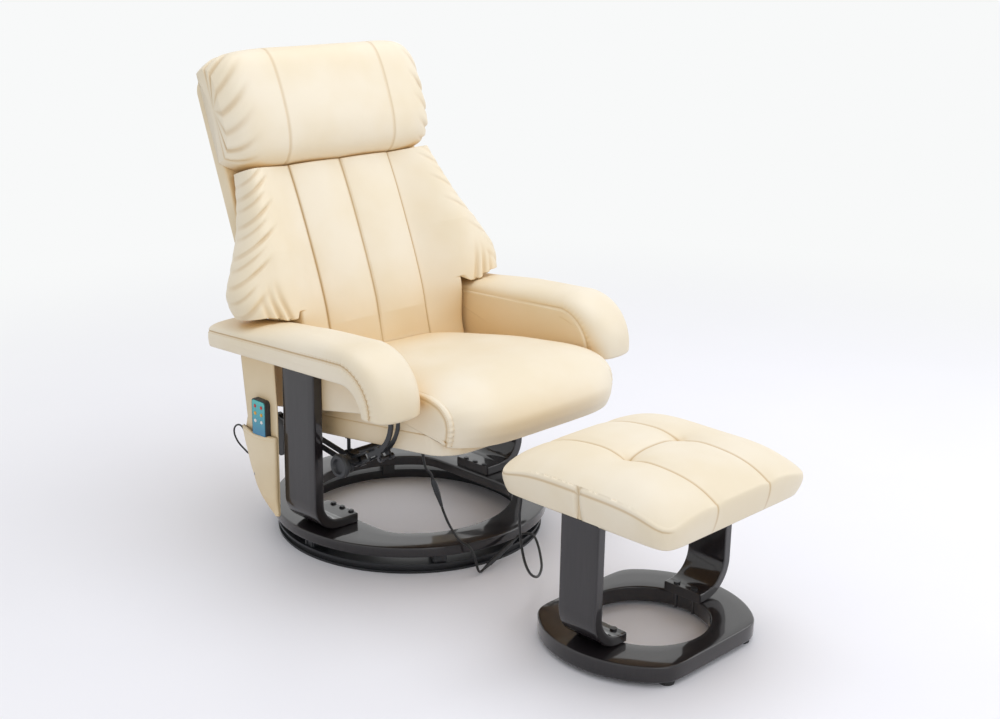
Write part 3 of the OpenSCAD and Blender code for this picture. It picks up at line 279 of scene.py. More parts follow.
def skin_piece(name: str, rings: np.ndarray, crease: np.ndarray | None = None) -> bpy.types.Object:
    """Makes a piece from a skin over rings of points, closed by a fan at its first and last ring.

    Args:
        name: the object's name.
        rings: array (rows, columns, 3) in millimetres.
        crease: values of make_piece for the same grid, or one for each row or column.

    Returns:
        The object.
    """
    rows, columns = rings.shape[:2]
    points = np.vstack([rings.reshape(-1, 3), rings[0].mean(0), rings[-1].mean(0)])
    j = np.arange(columns)
    k = (j + 1) % columns
    a = np.arange(rows - 1)[:, None] * columns + j
    b = np.arange(rows - 1)[:, None] * columns + k
    end = (rows - 1) * columns
    first = np.stack([k, j, np.full(columns, rows * columns)], axis=1)
    last = np.stack([j + end, k + end, np.full(columns, rows * columns + 1)], axis=1)
    faces = as_faces(np.stack([a, b, b + columns, a + columns], axis=-1)) + as_faces(first) + as_faces(last)
    if crease is not None:
        crease = np.concatenate([np.broadcast_to(crease, (rows, columns)).reshape(-1), [0.0, 0.0]])
    return make_piece(name, points, faces, crease)


def circle_section(radius: float, sides: int) -> np.ndarray:
    """Points of a circle in the plane."""
    a = np.linspace(0.0, 2 * math.pi, sides, endpoint=False)
    return radius * np.stack([np.cos(a), np.sin(a)], axis=1)


def round_box_section(width: float, height: float, radius: float) -> np.ndarray:
    """Outline of a rectangle of that width and height about its middle, with corners of that radius."""
    reach = np.array([width / 2 - radius, height / 2 - radius])
    arcs = []
    for k, signs in enumerate([(1, 1), (-1, 1), (-1, -1), (1, -1)]):
        a = quarter(6) + k * QUARTER
        arcs.append(signs * reach + radius * np.stack([np.cos(a), np.sin(a)], axis=1))
    between = np.linspace(0.0, 1.0, 6)[1:-1, None]
    return np.vstack([part for k, arc in enumerate(arcs)
                      for part in (arc, mix(arc[-1], arcs[(k + 1) % 4][0], between))])


def tube_piece(name: str, path: np.ndarray, radius: float) -> bpy.types.Object:
    """Round tube along a path, closed at its ends.

    Each ring is path point + circle x times the side vector + circle y times the rise vector,
    which are square to the path and to each other.

    Args:
        name: the object's name.
        path: array (m, 3) in millimetres.
        radius: the tube's.

    Returns:
        The object.
    """
    step = np.gradient(path, axis=0)
    near = (0.31, 0.17, 0.93) if np.abs(step[:, 2]).mean() < 0.6 else (0.93, 0.31, 0.17)
    along = unit(step)
    side = unit(np.cross(along, near))
    rise = np.cross(side, along)
    circle = circle_section(radius, 12)[None]
    around = circle[..., :1] * side[:, None] + circle[..., 1:] * rise[:, None]
    return skin_piece(name, path[:, None] + around)


def stitch_piece(name: str, path: np.ndarray, normals: np.ndarray) -> bpy.types.Object:
    """Row of thread stitches along a path, each a short flat lozenge of eight faces.

    Args:
        name: the object's name.
        path: array (m, 3) in millimetres, on the surface.
        normals: array (m, 3), out of the surface.

    Returns:
        The object.
    """
    count = max(2, int(path_length(path) / STITCH_PITCH))
    line = even_path(np.hstack([path, normals]), count)
    p, n = line[:, :3], unit(line[:, 3:]) * THREAD_R
    along = unit(np.gradient(p, axis=0))
    side = np.cross(along, n)
    half = along * STITCH_LENGTH / 2
    corners = np.stack([p - half, p + side, p + half, p - side, p + n, p - n], axis=1)
    faces = np.array([[0, 1, 4], [1, 2, 4], [2, 3, 4], [3, 0, 4], [1, 0, 5], [2, 1, 5], [3, 2, 5], [0, 3, 5]])
    every = faces[None] + 6 * np.arange(count)[:, None, None]
    return make_piece(name, corners.reshape(-1, 3), as_faces(every))


def revolve_piece(name: str, profile: Sequence[Sequence[float]], start: np.ndarray, end: np.ndarray,
                  sides: int = 40) -> bpy.types.Object:
    """Turned piece: a profile of (distance along, radius) carried round the line from start to end.

    Args:
        name: the object's name.
        profile: pairs of distance from start and radius, in millimetres.
        start: a point of the axis.
        end: another, which gives the direction.
        sides: points round it.

    Returns:
        The object.
    """
    axis = unit(end - start)
    u = unit(np.cross(axis, (0.0, 0.0, 1.0) if abs(axis[2]) < 0.8 else (1.0, 0.0, 0.0)))
    v = np.cross(axis, u)
    line = np.asarray(profile, float)
    circle = circle_section(1.0, sides)
    rings = (start + line[:, 0, None, None] * axis
             + line[:, 1, None, None] * (circle[None, :, 0, None] * u + circle[None, :, 1, None] * v))
    return skin_piece(name, rings)


# Finishes


def add_node(tree: Tree, kind: str, settings: dict[Any, Any] | None = None,
             links: dict[Any, Socket] | None = None) -> bpy.types.Node:
    """Adds a node with its settings and links.

    Args:
        tree: the material's node tree.
        kind: the node's type, without its leading "ShaderNode".
        settings: a property's name, or an input's name or number, and its value.
        links: an input's name or number and the output that feeds it.

    Returns:
        The node.
    """
    node = tree.nodes.new("ShaderNode" + kind)
    for key, value in (settings or {}).items():
        if isinstance(key, str) and key in node.bl_rna.properties:
            setattr(node, key, value)
        else:
            node.inputs[key].default_value = value
    for key, output in (links or {}).items():
        tree.links.new(output, node.inputs[key])
    return node


def two_tones(first: str, second: str) -> dict[Any, Any]:
    """Settings of a blend between two tones, from their hex codes."""
    return {"data_type": "RGBA", 6: hex_colour(first), 7: hex_colour(second)}


class Finish:
    """A material in the making: its tree, its shader and its object coordinates."""

    def __init__(self, name: str) -> None:
        """Makes the material with a plain shader."""
        self.material = bpy.data.materials.new(name)
        self.material.use_nodes = True
        self.tree = self.material.node_tree
        self.tree.nodes.clear()
        self.shader = add_node(self.tree, "BsdfPrincipled")
        self.out = add_node(self.tree, "OutputMaterial", links={"Surface": self.shader.outputs["BSDF"]})
        self.where = add_node(self.tree, "TexCoord").outputs["Object"]

    def feed(self, links: dict[str, Socket], values: dict[str, float] | None = None) -> bpy.types.Material:
        """Feeds the shader's inputs from sockets, sets its plain values and gives the material."""
        for key, output in links.items():
            self.tree.links.new(output, self.shader.inputs[key])
        for key, value in (values or {}).items():
            self.shader.inputs[key].default_value = value
        return self.material


@dataclass(frozen=True)
class Leatherette:
    """Soft cream PVC on knitted backing: calendered with a fine pebble, satin, darker in its seams and folds
    from painted shade and some seam dirt.

    The pebble is 1.1 mm on the real cover; it is drawn at 2.4 mm, so that it shows. Where the cover faces
    other parts of the cover, an ambient occlusion mix paints its tone warmer: painted shade with painted
    light reflected between them.
    """

    name: str = "cream leatherette"
    tone: str = "#E1D7C3"
    deep_tone: str = "#DDD0B6"
    shaded_tone: str = "#DFC08C"
    seam_dirt_and_shade_tone: str = "#B4935F"
    roughness: float = 0.47
    pebble_mm: float = 2.4
    pebble_depth_mm: float = 0.12
    wave_mm: float = 34.0
    wave_depth_mm: float = 0.9
    shade_mm: float = 260.0

    def build(self) -> bpy.types.Material:
        """Makes the material."""
        made = Finish(self.name)
        tree, at = made.tree, {"Vector": made.where}
        cloud = add_node(tree, "TexNoise", {"Scale": 5.5, "Detail": 3.0}, at)
        share = add_node(tree, "MapRange", {"From Min": 0.35, "From Max": 0.62},
                         {"Value": cloud.outputs["Fac"]})
        tones = add_node(tree, "Mix", two_tones(self.deep_tone, self.tone), {0: share.outputs["Result"]})
        # Painted shade and bounce light: an ambient occlusion mix turns the tone warmer where the cover faces
        # other parts of the cover.
        open_sky = add_node(tree, "AmbientOcclusion", {"Distance": self.shade_mm * MM})
        closed = {"From Min": 0.3, "From Max": 0.95, "To Min": 0.85, "To Max": 0.0}
        shade = add_node(tree, "MapRange", closed, {"Value": open_sky.outputs["AO"]})
        painted_warm_shade = add_node(tree, "Mix", two_tones(self.tone, self.shaded_tone),
                        {0: shade.outputs["Result"], 6: tones.outputs[2]})
        # Painted shade, with some seam dirt: the crease attribute darkens the tone in seams and folds.
        depth = add_node(tree, "Attribute", {"attribute_name": "crease"})
        colour = add_node(tree, "Mix", two_tones(self.tone, self.seam_dirt_and_shade_tone),
                          {0: depth.outputs["Fac"], 6: painted_warm_shade.outputs[2]})
        wear = add_node(tree, "MapRange", {"To Min": self.roughness - 0.05, "To Max": self.roughness + 0.06},
                        {"Value": cloud.outputs["Fac"]})
        wave = add_node(tree, "TexNoise", {"Scale": 1000.0 / self.wave_mm, "Detail": 1.0}, at)
        soft = add_node(tree, "Bump", {"Strength": 0.35, "Distance": self.wave_depth_mm * MM},
                        {"Height": wave.outputs["Fac"]})
        pebble = add_node(tree, "TexVoronoi", {"Scale": 1000.0 / self.pebble_mm}, at)
        grain = add_node(tree, "Bump", {"Strength": 0.22, "Distance": self.pebble_depth_mm * MM},
                         {"Height": pebble.outputs["Distance"], "Normal": soft.outputs["Normal"]})
        return made.feed({"Base Color": colour.outputs[2], "Roughness": wear.outputs["Result"],
                          "Normal": grain.outputs["Normal"]}, {"IOR": 1.5})


@dataclass(frozen=True)
class Lacquer:
    """Black piano lacquer, sprayed over bent beech plies: deep gloss with a faint ripple and a brown cast."""

    name: str = "black gloss lacquer"
    tone: str = "#181618"
    worn_tone: str = "#242022"
    edge_mm: float = 1.5
    ripple_depth_mm: float = 0.35
    levels: tuple = (("Roughness", 0.32), ("Specular IOR Level", 0.1), ("Coat Weight", 1.0),
                     ("Coat Roughness", 0.06))

    def build(self) -> bpy.types.Material:
        """Makes the material."""
        made = Finish(self.name)
        tree, at = made.tree, {"Vector": made.where}
        stretch = add_node(tree, "Mapping", {"Scale": (6.0, 60.0, 6.0)}, at)
        plies = add_node(tree, "TexNoise", {"Scale": 3.0, "Detail": 4.0},
                         {"Vector": stretch.outputs["Vector"]})
        colour = add_node(tree, "Mix", two_tones(self.tone, self.worn_tone), {0: plies.outputs["Fac"]})
        ripple = add_node(tree, "TexNoise", {"Scale": 45.0, "Detail": 2.0}, at)
        skin = add_node(tree, "Bump", {"Strength": 0.12, "Distance": self.ripple_depth_mm * MM},
                        {"Height": ripple.outputs["Fac"]})
        edge = add_node(tree, "Bevel", {"Radius": self.edge_mm * MM}, {"Normal": skin.outputs["Normal"]})
        return made.feed({"Base Color": colour.outputs[2], "Normal": edge.outputs["Normal"],
                          "Coat Normal": edge.outputs["Normal"]}, dict(self.levels))


@dataclass(frozen=True)
class PlainCoat:
    """Even surface with a fine texture, for powder coat, moulded plastic, rubber, thread and zinc.

    The texture's size is that of powder coat's orange peel, spark erosion or cast skin, in millimetres.
    """

    name: str
    tone: str
    second_tone: str
    roughness: float
    grain_mm: float
    grain_depth_mm: float
    metallic: float = 0.0
    edge_mm: float = 0.6

    def build(self) -> bpy.types.Material:
        """Makes the material."""
        made = Finish(self.name)
        tree, at = made.tree, {"Vector": made.where}
        cloud = add_node(tree, "TexNoise", {"Scale": 28.0, "Detail": 4.0}, at)
        colour = add_node(tree, "Mix", two_tones(self.tone, self.second_tone), {0: cloud.outputs["Fac"]})
        wear = add_node(tree, "MapRange", {"To Min": self.roughness - 0.05, "To Max": self.roughness + 0.07},
                        {"Value": cloud.outputs["Fac"]})
        grain = add_node(tree, "TexNoise", {"Scale": 1000.0 / self.grain_mm, "Detail": 2.0}, at)
        skin = add_node(tree, "Bump", {"Strength": 0.3, "Distance": self.grain_depth_mm * MM},
                        {"Height": grain.outputs["Fac"]})
        edge = add_node(tree, "Bevel", {"Radius": self.edge_mm * MM}, {"Normal": skin.outputs["Normal"]})
        return made.feed({"Base Color": colour.outputs[2], "Roughness": wear.outputs["Result"],
                          "Normal": edge.outputs["Normal"]}, {"Metallic": self.metallic})


@dataclass(frozen=True)
class PlyBoard:
    """Sanded poplar plywood, bare: pale wood with long grain lines about 3 mm apart."""

    name: str = "bare plywood"
    tone: str = "#C9A26A"
    line_tone: str = "#A98350"
    line_depth_mm: float = 0.2

    def build(self) -> bpy.types.Material:
        """Makes the material."""
        made = Finish(self.name)
        stretch = add_node(made.tree, "Mapping", {"Scale": (3.0, 330.0, 330.0)}, {"Vector": made.where})
        lines = add_node(made.tree, "TexNoise", {"Scale": 1.0, "Detail": 5.0},
                         {"Vector": stretch.outputs["Vector"]})
        colour = add_node(made.tree, "Mix", two_tones(self.line_tone, self.tone), {0: lines.outputs["Fac"]})
        skin = add_node(made.tree, "Bump", {"Strength": 0.25, "Distance": self.line_depth_mm * MM},
                        {"Height": lines.outputs["Fac"]})
        return made.feed({"Base Color": colour.outputs[2], "Normal": skin.outputs["Normal"]},
                         {"Roughness": 0.62})


@dataclass(frozen=True)
class PrintedFace:
    """Polycarbonate sheet printed from blue at its foot to teal at its top, glossy."""

    name: str = "printed handset face"
    low_tone: str = "#2C5E9A"
    high_tone: str = "#57B7B4"
    low_z: float = 0.24
    high_z: float = 0.345
    grit_depth_mm: float = 0.05

    def build(self) -> bpy.types.Material:
        """Makes the material."""
        made = Finish(self.name)
        split = add_node(made.tree, "SeparateXYZ", links={"Vector": made.where})
        height = add_node(made.tree, "MapRange", {"From Min": self.low_z, "From Max": self.high_z},
                          {"Value": split.outputs["Z"]})
        colour = add_node(made.tree, "Mix", two_tones(self.low_tone, self.high_tone),
                          {0: height.outputs["Result"]})
        grit = add_node(made.tree, "TexNoise", {"Scale": 400.0, "Detail": 2.0}, {"Vector": made.where})
        skin = add_node(made.tree, "Bump", {"Strength": 0.08, "Distance": self.grit_depth_mm * MM},
                        {"Height": grit.outputs["Fac"]})
        return made.feed({"Base Color": colour.outputs[2], "Normal": skin.outputs["Normal"]},
                         {"Roughness": 0.22})


class Palette:
    """All finishes, each made once when it is first asked for."""

    FINISHES = {
        "leatherette": Leatherette(),
        "cover_cloth": Leatherette(name="thin cream leatherette", tone="#DCCDB0", deep_tone="#D3C2A1",
                                   roughness=0.5, wave_mm=60.0, wave_depth_mm=1.6),
        "black_lacquer": Lacquer(),
        "board_wood": PlyBoard(),
        # Powder coat on steel: even, half gloss, with an orange peel of about 2 mm
        "black_steel": PlainCoat("black powder coat", "#1B1C1F", "#26282B", 0.34, 2.0, 0.10),
        # Black zinc on bolts: dark metal with a soft shine
        "bolt_steel": PlainCoat("black zinc", "#4A4A4C", "#5D5D60", 0.33, 0.8, 0.05, metallic=1.0),
        # ABS from an eroded mould: matte with a fine grit
        "black_plastic": PlainCoat("moulded black plastic", "#232427", "#2E3033", 0.42, 1.1, 0.08),
        "black_rubber": PlainCoat("black cable rubber", "#141414", "#1C1C1D", 0.5, 1.2, 0.06),
        "teal_face": PrintedFace(),
        "red_key": PlainCoat("red key rubber", "#B3352C", "#C4443A", 0.48, 0.9, 0.04),
        "yellow_key": PlainCoat("yellow key rubber", "#D9A02F", "#E3B146", 0.48, 0.9, 0.04),
        "white_key": PlainCoat("white key rubber", "#DCDCD8", "#E9E9E6", 0.48, 0.9, 0.04),
        # Polyester thread a shade deeper than the cover
        "thread": PlainCoat("sewing thread", "#C9A872", "#D8BC8A", 0.6, 0.7, 0.05),
    }

    def __init__(self) -> None:
        """Starts with no material made."""
        self.made: dict[str, bpy.types.Material] = {}

    def get(self, name: str) -> bpy.types.Material:
        """The material of that finish."""
        if name not in self.made:
            self.made[name] = self.FINISHES[name].build()
        return self.made[name]

    def dress(self, thing: bpy.types.Object, name: str) -> None:
        """Gives a new piece that finish."""
        thing.data.materials.clear()
        thing.data.materials.append(self.get(name))

    def dress_nodes(self) -> None:
        """Gives every node of the frame the finish that the record names for it."""
        for row in frame["record"]["subparts"]:
            node = frame["nodes"][row["node"]]
            if not node.material_slots:
                node.data.materials.append(self.get(row["material_slot"]))
            for held in node.material_slots:
                held.material = self.get(row["material_slot"])


palette = Palette()


def place(thing: bpy.types.Object, finish: str, body: Body, *nodes: str,
          fill: float | None = None) -> bpy.types.Object:
    """Dresses a piece, lets it ride on a body and stand for nodes.

    Args:
        thing: the piece.
        finish: a finish of the palette.
        body: what it rides on.
        nodes: the nodes that it replaces.
        fill: for a padded piece, how full it is; not used.

    Returns:
        The piece.
    """
    palette.dress(thing, finish)
    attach(thing, body.value)
    if nodes:
        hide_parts(*nodes)
    log.info("made %s on %s", thing.name, body.value)
    return thing


# Studio


def stand(name: str, data: bpy.types.ID, axes: Sequence[np.ndarray],
          spot: Sequence[float]) -> bpy.types.Object:
    """Makes the object of a camera or lamp, turned by its three axes, at a spot in metres."""
    thing = bpy.data.objects.new(name, data)
    bpy.context.scene.collection.objects.link(thing)
    turn = np.eye(4)
    turn[:3] = np.stack([*axes, spot], axis=1)
    thing.matrix_world = Matrix(turn.tolist())
    return thing


@dataclass
class Studio:
    """Camera at the photograph's place, a pale floor and wall, and soft lamps."""

    focal_px: float = 1490.0
    azimuth: float = -45.845
    elevation: float = 16.988
    roll: float = 1.0557
    eye: Point = (-2.199, -2.421, 1.393)
    width_px: float = 1000.0
    sensor_mm: float = 36.0
    floor_tone: str = "#EAEAEE"
    floor_deep_tone: str = "#E6E6EB"
    wall_tone: str = "#F8F9F9"
    room_tone: str = "#FBFBFD"
    room_strength: float = 0.84
    floor_size: float = 60.0
    floor_middle: Point = (0.3, -0.3, 0.0)
    fade_start: float = 0.9
    fade_end: float = 3.2

    def camera(self) -> None:
        """Makes the camera: back = direction from the object to the eye, right and up turned by the roll."""
        a, e, r = (math.radians(v) for v in (self.azimuth, self.elevation, self.roll))
        back = np.array([math.sin(a) * math.cos(e), -math.cos(a) * math.cos(e), math.sin(e)])
        level = np.array([math.cos(a), math.sin(a), 0.0])
        rise = np.cross(back, level)
        right = level * math.cos(r) + rise * math.sin(r)
        up = -level * math.sin(r) + rise * math.cos(r)
        data = bpy.data.cameras.new("camera")
        data.sensor_width = self.sensor_mm
        data.lens = self.focal_px * self.sensor_mm / self.width_px
        data.clip_start, data.clip_end = 0.05, 200.0
        bpy.context.scene.camera = stand("camera", data, (right, up, back), self.eye)

    def floor(self) -> None:
        """Makes the floor: one wide quad of matte pale paint, which passes into the wall's white far off."""
        h = self.floor_size / 2
        sheet = bpy.data.meshes.new("floor")
        sheet.from_pydata([(-h, -h, 0.0), (h, -h, 0.0), (h, h, 0.0), (-h, h, 0.0)], [], [(0, 1, 2, 3)])
        ground = bpy.data.objects.new("floor", sheet)
        bpy.context.scene.collection.objects.link(ground)
        made = Finish("matte studio floor")
        cloud = add_node(made.tree, "TexNoise", {"Scale": 2.2, "Detail": 5.0}, {"Vector": made.where})
        colour = add_node(made.tree, "Mix", two_tones(self.floor_deep_tone, self.floor_tone),
                          {0: cloud.outputs["Fac"]})
        material = made.feed({"Base Color": colour.outputs[2]},
                             {"Roughness": 0.55, "Specular IOR Level": 0.25})
        flat = add_node(made.tree, "VectorMath", {"operation": "DISTANCE", 1: self.floor_middle},
                        {0: made.where})
        fade = {"interpolation_type": "SMOOTHSTEP", "From Min": self.fade_start, "From Max": self.fade_end}
        far = add_node(made.tree, "MapRange", fade, {"Value": flat.outputs["Value"]})
        wall = add_node(made.tree, "Emission", {"Color": hex_colour(self.wall_tone), "Strength": 1.0})
        both = add_node(made.tree, "MixShader", links={
            0: far.outputs["Result"], 1: made.shader.outputs["BSDF"], 2: wall.outputs["Emission"]})
        made.tree.links.new(both.outputs["Shader"], made.out.inputs["Surface"])
        ground.data.materials.append(material)

    def world(self) -> None:
        """Makes the world: an even pale light, and near-white where the camera or a gloss sees it."""
        world = bpy.data.worlds.new("pale room")
        bpy.context.scene.world = world
        world.use_nodes = True
        tree = world.node_tree
        tree.nodes.clear()
        path = add_node(tree, "LightPath").outputs
        seen = add_node(tree, "Math", {"operation": "MAXIMUM"},
                        {0: path["Is Camera Ray"], 1: path["Is Glossy Ray"]})
        light, white = (add_node(tree, "Background", {"Color": hex_colour(tone), "Strength": strength})
                        for tone, strength in ((self.room_tone, self.room_strength), (self.wall_tone, 1.0)))
        both = add_node(tree, "MixShader",
                        links={0: seen.outputs[0], 1: light.outputs[0], 2: white.outputs[0]})
        add_node(tree, "OutputWorld", links={"Surface": both.outputs[0]})

    def lamp(self, name: str, spot: Point, aim: Point, size: float, watts: float, tone: str) -> None:
        """Makes one square soft box.

        Args:
            name: its name.
            spot: where it hangs, in metres.
            aim: the point that it faces.
            size: its side.
            watts: its power.
            tone: its colour.
        """
        data = bpy.data.lights.new(name, "AREA")
        data.shape = "SQUARE"
        data.size = size
        data.energy = watts
        data.color = hex_colour(tone)[:3]
        away = unit(np.array(spot) - np.array(aim))
        side = unit(np.cross([0.0, 0.0, 1.0], away))
        stand(name, data, (side, np.cross(away, side), away), spot)

    def build(self) -> None:
        """Makes all of it."""
        bpy.context.scene.view_settings.view_transform = "Standard"
        self.camera()
        self.floor()
        self.world()
        self.lamp("overhead soft box", (0.6, -0.5, 3.4), (0.0, -0.3, 0.4), 2.6, 45.0, "#FBFCFF")
        self.lamp("right soft box", (3.0, -2.2, 2.0), (0.0, -0.2, 0.5), 1.8, 21.0, "#FCFCFF")
        self.lamp("front fill", (-1.2, -3.8, 1.8), (0.0, -0.3, 0.5), 2.2, 13.0, "#FCFDFF")
        log.info("made the studio")


# Cords


MASSAGE_ROUTE = [(-219, -279, 311), (-219, -279, 298), (-217, -279, 284), (-205, -274, 258),
                 (-187, -270, 239), (-182, -270, 226)]
CONNECTOR_END = (-155, -270, 156)
LOWER_ROUTE = [(-155, -270, 156), (-149, -270, 141), (-142, -277, 116), (-134, -288, 92), (-128, -302, 76),
               (-125, -318, 72), (-123, -330, 64), (-120, -338, 46), (-116, -341, 26), (-108, -338, 12),
               (-98, -335, 6), (-88, -335, 10)]
PLUG_SPOT = (6, -339, 54)
LEAD_ROUTE = [(6, -339, 54), (15, -339, 58), (23, -345, 62), (26, -358, 66), (20, -378, 70), (4, -404, 68),
              (-24, -440, 60), (-60, -478, 52), (-104, -508, 56), (-150, -530, 84), (-188, -548, 130),
              (-216, -562, 190), (-236, -576, 250), (-246, -588, 286), (-247, -590, 300), (-247, -590, 310)]
HANDSET_ROUTE = [(-344, 118, 159.7), (-344, 118, 153), (-344, 122, 147), (-344, 129, 147), (-344, 133, 154),
                 (-344, 138.5, 166), (-344, 145, 184), (-344, 156, 214), (-344, 167, 244), (-344, 175, 260),
                 (-345, 185, 267), (-345, 199, 264), (-343, 212, 252), (-340, 216, 236), (-336, 208, 218),
                 (-331, 192, 204), (-328, 176, 196), (-322, 162, 200), (-314, 154, 224), (-304, 150, 256),
                 (-294, 148, 282), (-285, 148, 300), (-284, 148, 311)]


@dataclass
class Cords:
    """The massage cord with its connectors, the footstool's lead and the handset's cord."""

    thick_r: float = 2.8
    thin_r: float = 2.0

    def inline(self) -> bpy.types.Object:
        """Tapered moulding on the cord: waist, swell and a long tail, with three finger grooves."""
        a, b = np.array(MASSAGE_ROUTE[-1], float), np.array(CONNECTOR_END, float)
        s = np.linspace(0.0, 1.0, 60)
        body = smooth_table([(0, 1.25), (0.08, 1.9), (0.2, 2.35), (0.5, 2.3), (0.62, 2.0), (0.8, 1.55),
                             (1, 1.2)], s)
        grooves = 0.25 * sum(bump(s, centre, 0.015) for centre in (0.30, 0.38, 0.46))
        profile = np.stack([s * float(np.linalg.norm(b - a)), self.thick_r * (body - grooves)], axis=1)
        return revolve_piece("inline_moulding", profile, a, b)

    def barrel(self) -> tuple[bpy.types.Object, bpy.types.Object]:
        """The two halves of the barrel connector: socket below, plug above, each with a ribbed relief."""
        a, b = np.array(LOWER_ROUTE[-1], float), np.array(PLUG_SPOT, float)
        length = float(np.linalg.norm(b - a))
        half = 0.52 * length
        parting, slimmer = 0.3, 0.12
        s = np.linspace(0.0, 1.0, 60)
        ribs = 0.16 * (0.5 + 0.5 * np.cos(s * 90.0)) * (1 - ease(0.28, 0.34, s))
        shape = smooth_table([(0, 1.2), (0.3, 1.7), (0.36, 1.95), (0.94, 1.95), (1, 1.8)], s) - ribs
        low = np.stack([s * (half - parting), self.thick_r * shape], axis=1)
        high = np.stack([s * (length - half), self.thick_r * (shape - slimmer)], axis=1)
        return revolve_piece("cord_barrel", low, a, b), revolve_piece("cord_barrel_plug", high, b, a)

    def build(self) -> None:
        """Makes the cords and their connectors, and logs each cord's length."""
        inline = place(self.inline(), "black_plastic", Body.SEAT, "inline_connector")
        socket, plug = self.barrel()
        place(socket, "black_plastic", Body.FOOTSTOOL, "cord_socket")
        place(plug, "black_plastic", Body.FOOTSTOOL, "cord_plug")

        upper = smooth_path(MASSAGE_ROUTE, 60)
        lower = smooth_path(LOWER_ROUTE, 110)
        middle = mix(upper[-1], lower[0], np.linspace(0, 1, 16)[1:-1, None])
        path = even_path(np.vstack([upper, middle, lower]), 200)
        massage = tube_piece("massage_cord_run", path, self.thick_r)
        palette.dress(massage, "black_rubber")
        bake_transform(massage)
        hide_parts("massage_cord")
        log.info("massage cord %.0f mm", path_length(path))

        path = smooth_path(LEAD_ROUTE[::-1], 190)
        lead = tube_piece("footstool_lead_run", path, self.thick_r)
        place(lead, "black_rubber", Body.FOOTSTOOL, "footstool_lead")
        log.info("footstool lead %.0f mm", path_length(path))

        path = smooth_path(HANDSET_ROUTE, 190)
        thin = tube_piece("handset_cord_run", path, self.thin_r)
        palette.dress(thin, "black_rubber")
        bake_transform(thin)
        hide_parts("handset_cord")
        log.info("handset cord %.0f mm", path_length(path))
        relief = [(0, 4.4), (2, 5.2), (5, 5.2), (8, 4.6), (14, 3.9), (20, 3.3), (26, 3.0)]
        start, end = np.array([-219.0, -279.0, 312.0]), np.array([-217.6, -279.0, 284.0])
        place(revolve_piece("cord_relief", relief, start, end, 24), "black_rubber", Body.SEAT)


# Wood


@dataclass
class RingPlate:
    """Flat wooden ring with rounded edges: an outer and an inner outline, each a radius for every angle."""

    name: str
    outer_r: float
    inner_r: float
    low: float
    high: float
    centre: tuple[float, float] = (0.0, 0.0)
    inner_flat: float | None = None
    outer_flat: float | None = None
    edge_r: float = 4.0
    corner_power: float = 26.0

    def outline(self, radius: float, flat: float | None, across: np.ndarray) -> np.ndarray:
        """Radius at each angle: the circle, cut by a pair of flats where there is one, with blended corners.

        Args:
            radius: the circle's.
            flat: half distance between the flats.
            across: cosine of the angle from the flats' normal, at each angle.

        Returns:
            Array of the same length.
        """
        if flat is None:
            return np.full(len(across), radius)
        reach = flat / np.maximum(np.abs(across), 1e-6)
        power = self.corner_power
        return (radius ** -power + reach ** -power) ** (-1.0 / power)

    def build(self) -> bpy.types.Object:
        """Makes the ring: for each angle, a section that runs round the outer, top, inner and lower edges."""
        a = np.linspace(0.0, 2 * math.pi, 360, endpoint=False)[:, None]
        cos, sin = np.cos(a), np.sin(a)
        far = self.outline(self.outer_r, self.outer_flat, sin[:, 0])[:, None]
        near = self.outline(self.inner_r, self.inner_flat, cos[:, 0])[:, None]
        bend = [(self.edge_r * (1 - math.cos(t)), self.edge_r * (1 - math.sin(t))) for t in quarter(6)]
        section = [(1.0, -inset, self.high - drop) for inset, drop in bend]
        section += [(0.66, 0.0, self.high), (0.33, 0.0, self.high)]
        section += [(0.0, inset, self.high - drop) for inset, drop in reversed(bend)]
        section += [(0.0, inset, self.low + drop) for inset, drop in bend]
        section += [(0.33, 0.0, self.low), (0.66, 0.0, self.low)]
        section += [(1.0, -inset, self.low + drop) for inset, drop in reversed(bend)]
        share, shift, z = np.array(section).T[:, None]
        r = mix(near, far, share) + shift
        points = np.stack([self.centre[0] + r * cos, self.centre[1] + r * sin, z + 0 * r], axis=-1)
        numbers = np.arange(r.size).reshape(r.shape)
        after = np.roll(numbers, -1, 0)
        corners = (numbers, np.roll(numbers, -1, 1), np.roll(after, -1, 1), after)
        return make_piece(self.name, points.reshape(-1, 3), as_faces(np.stack(corners, axis=-1)))


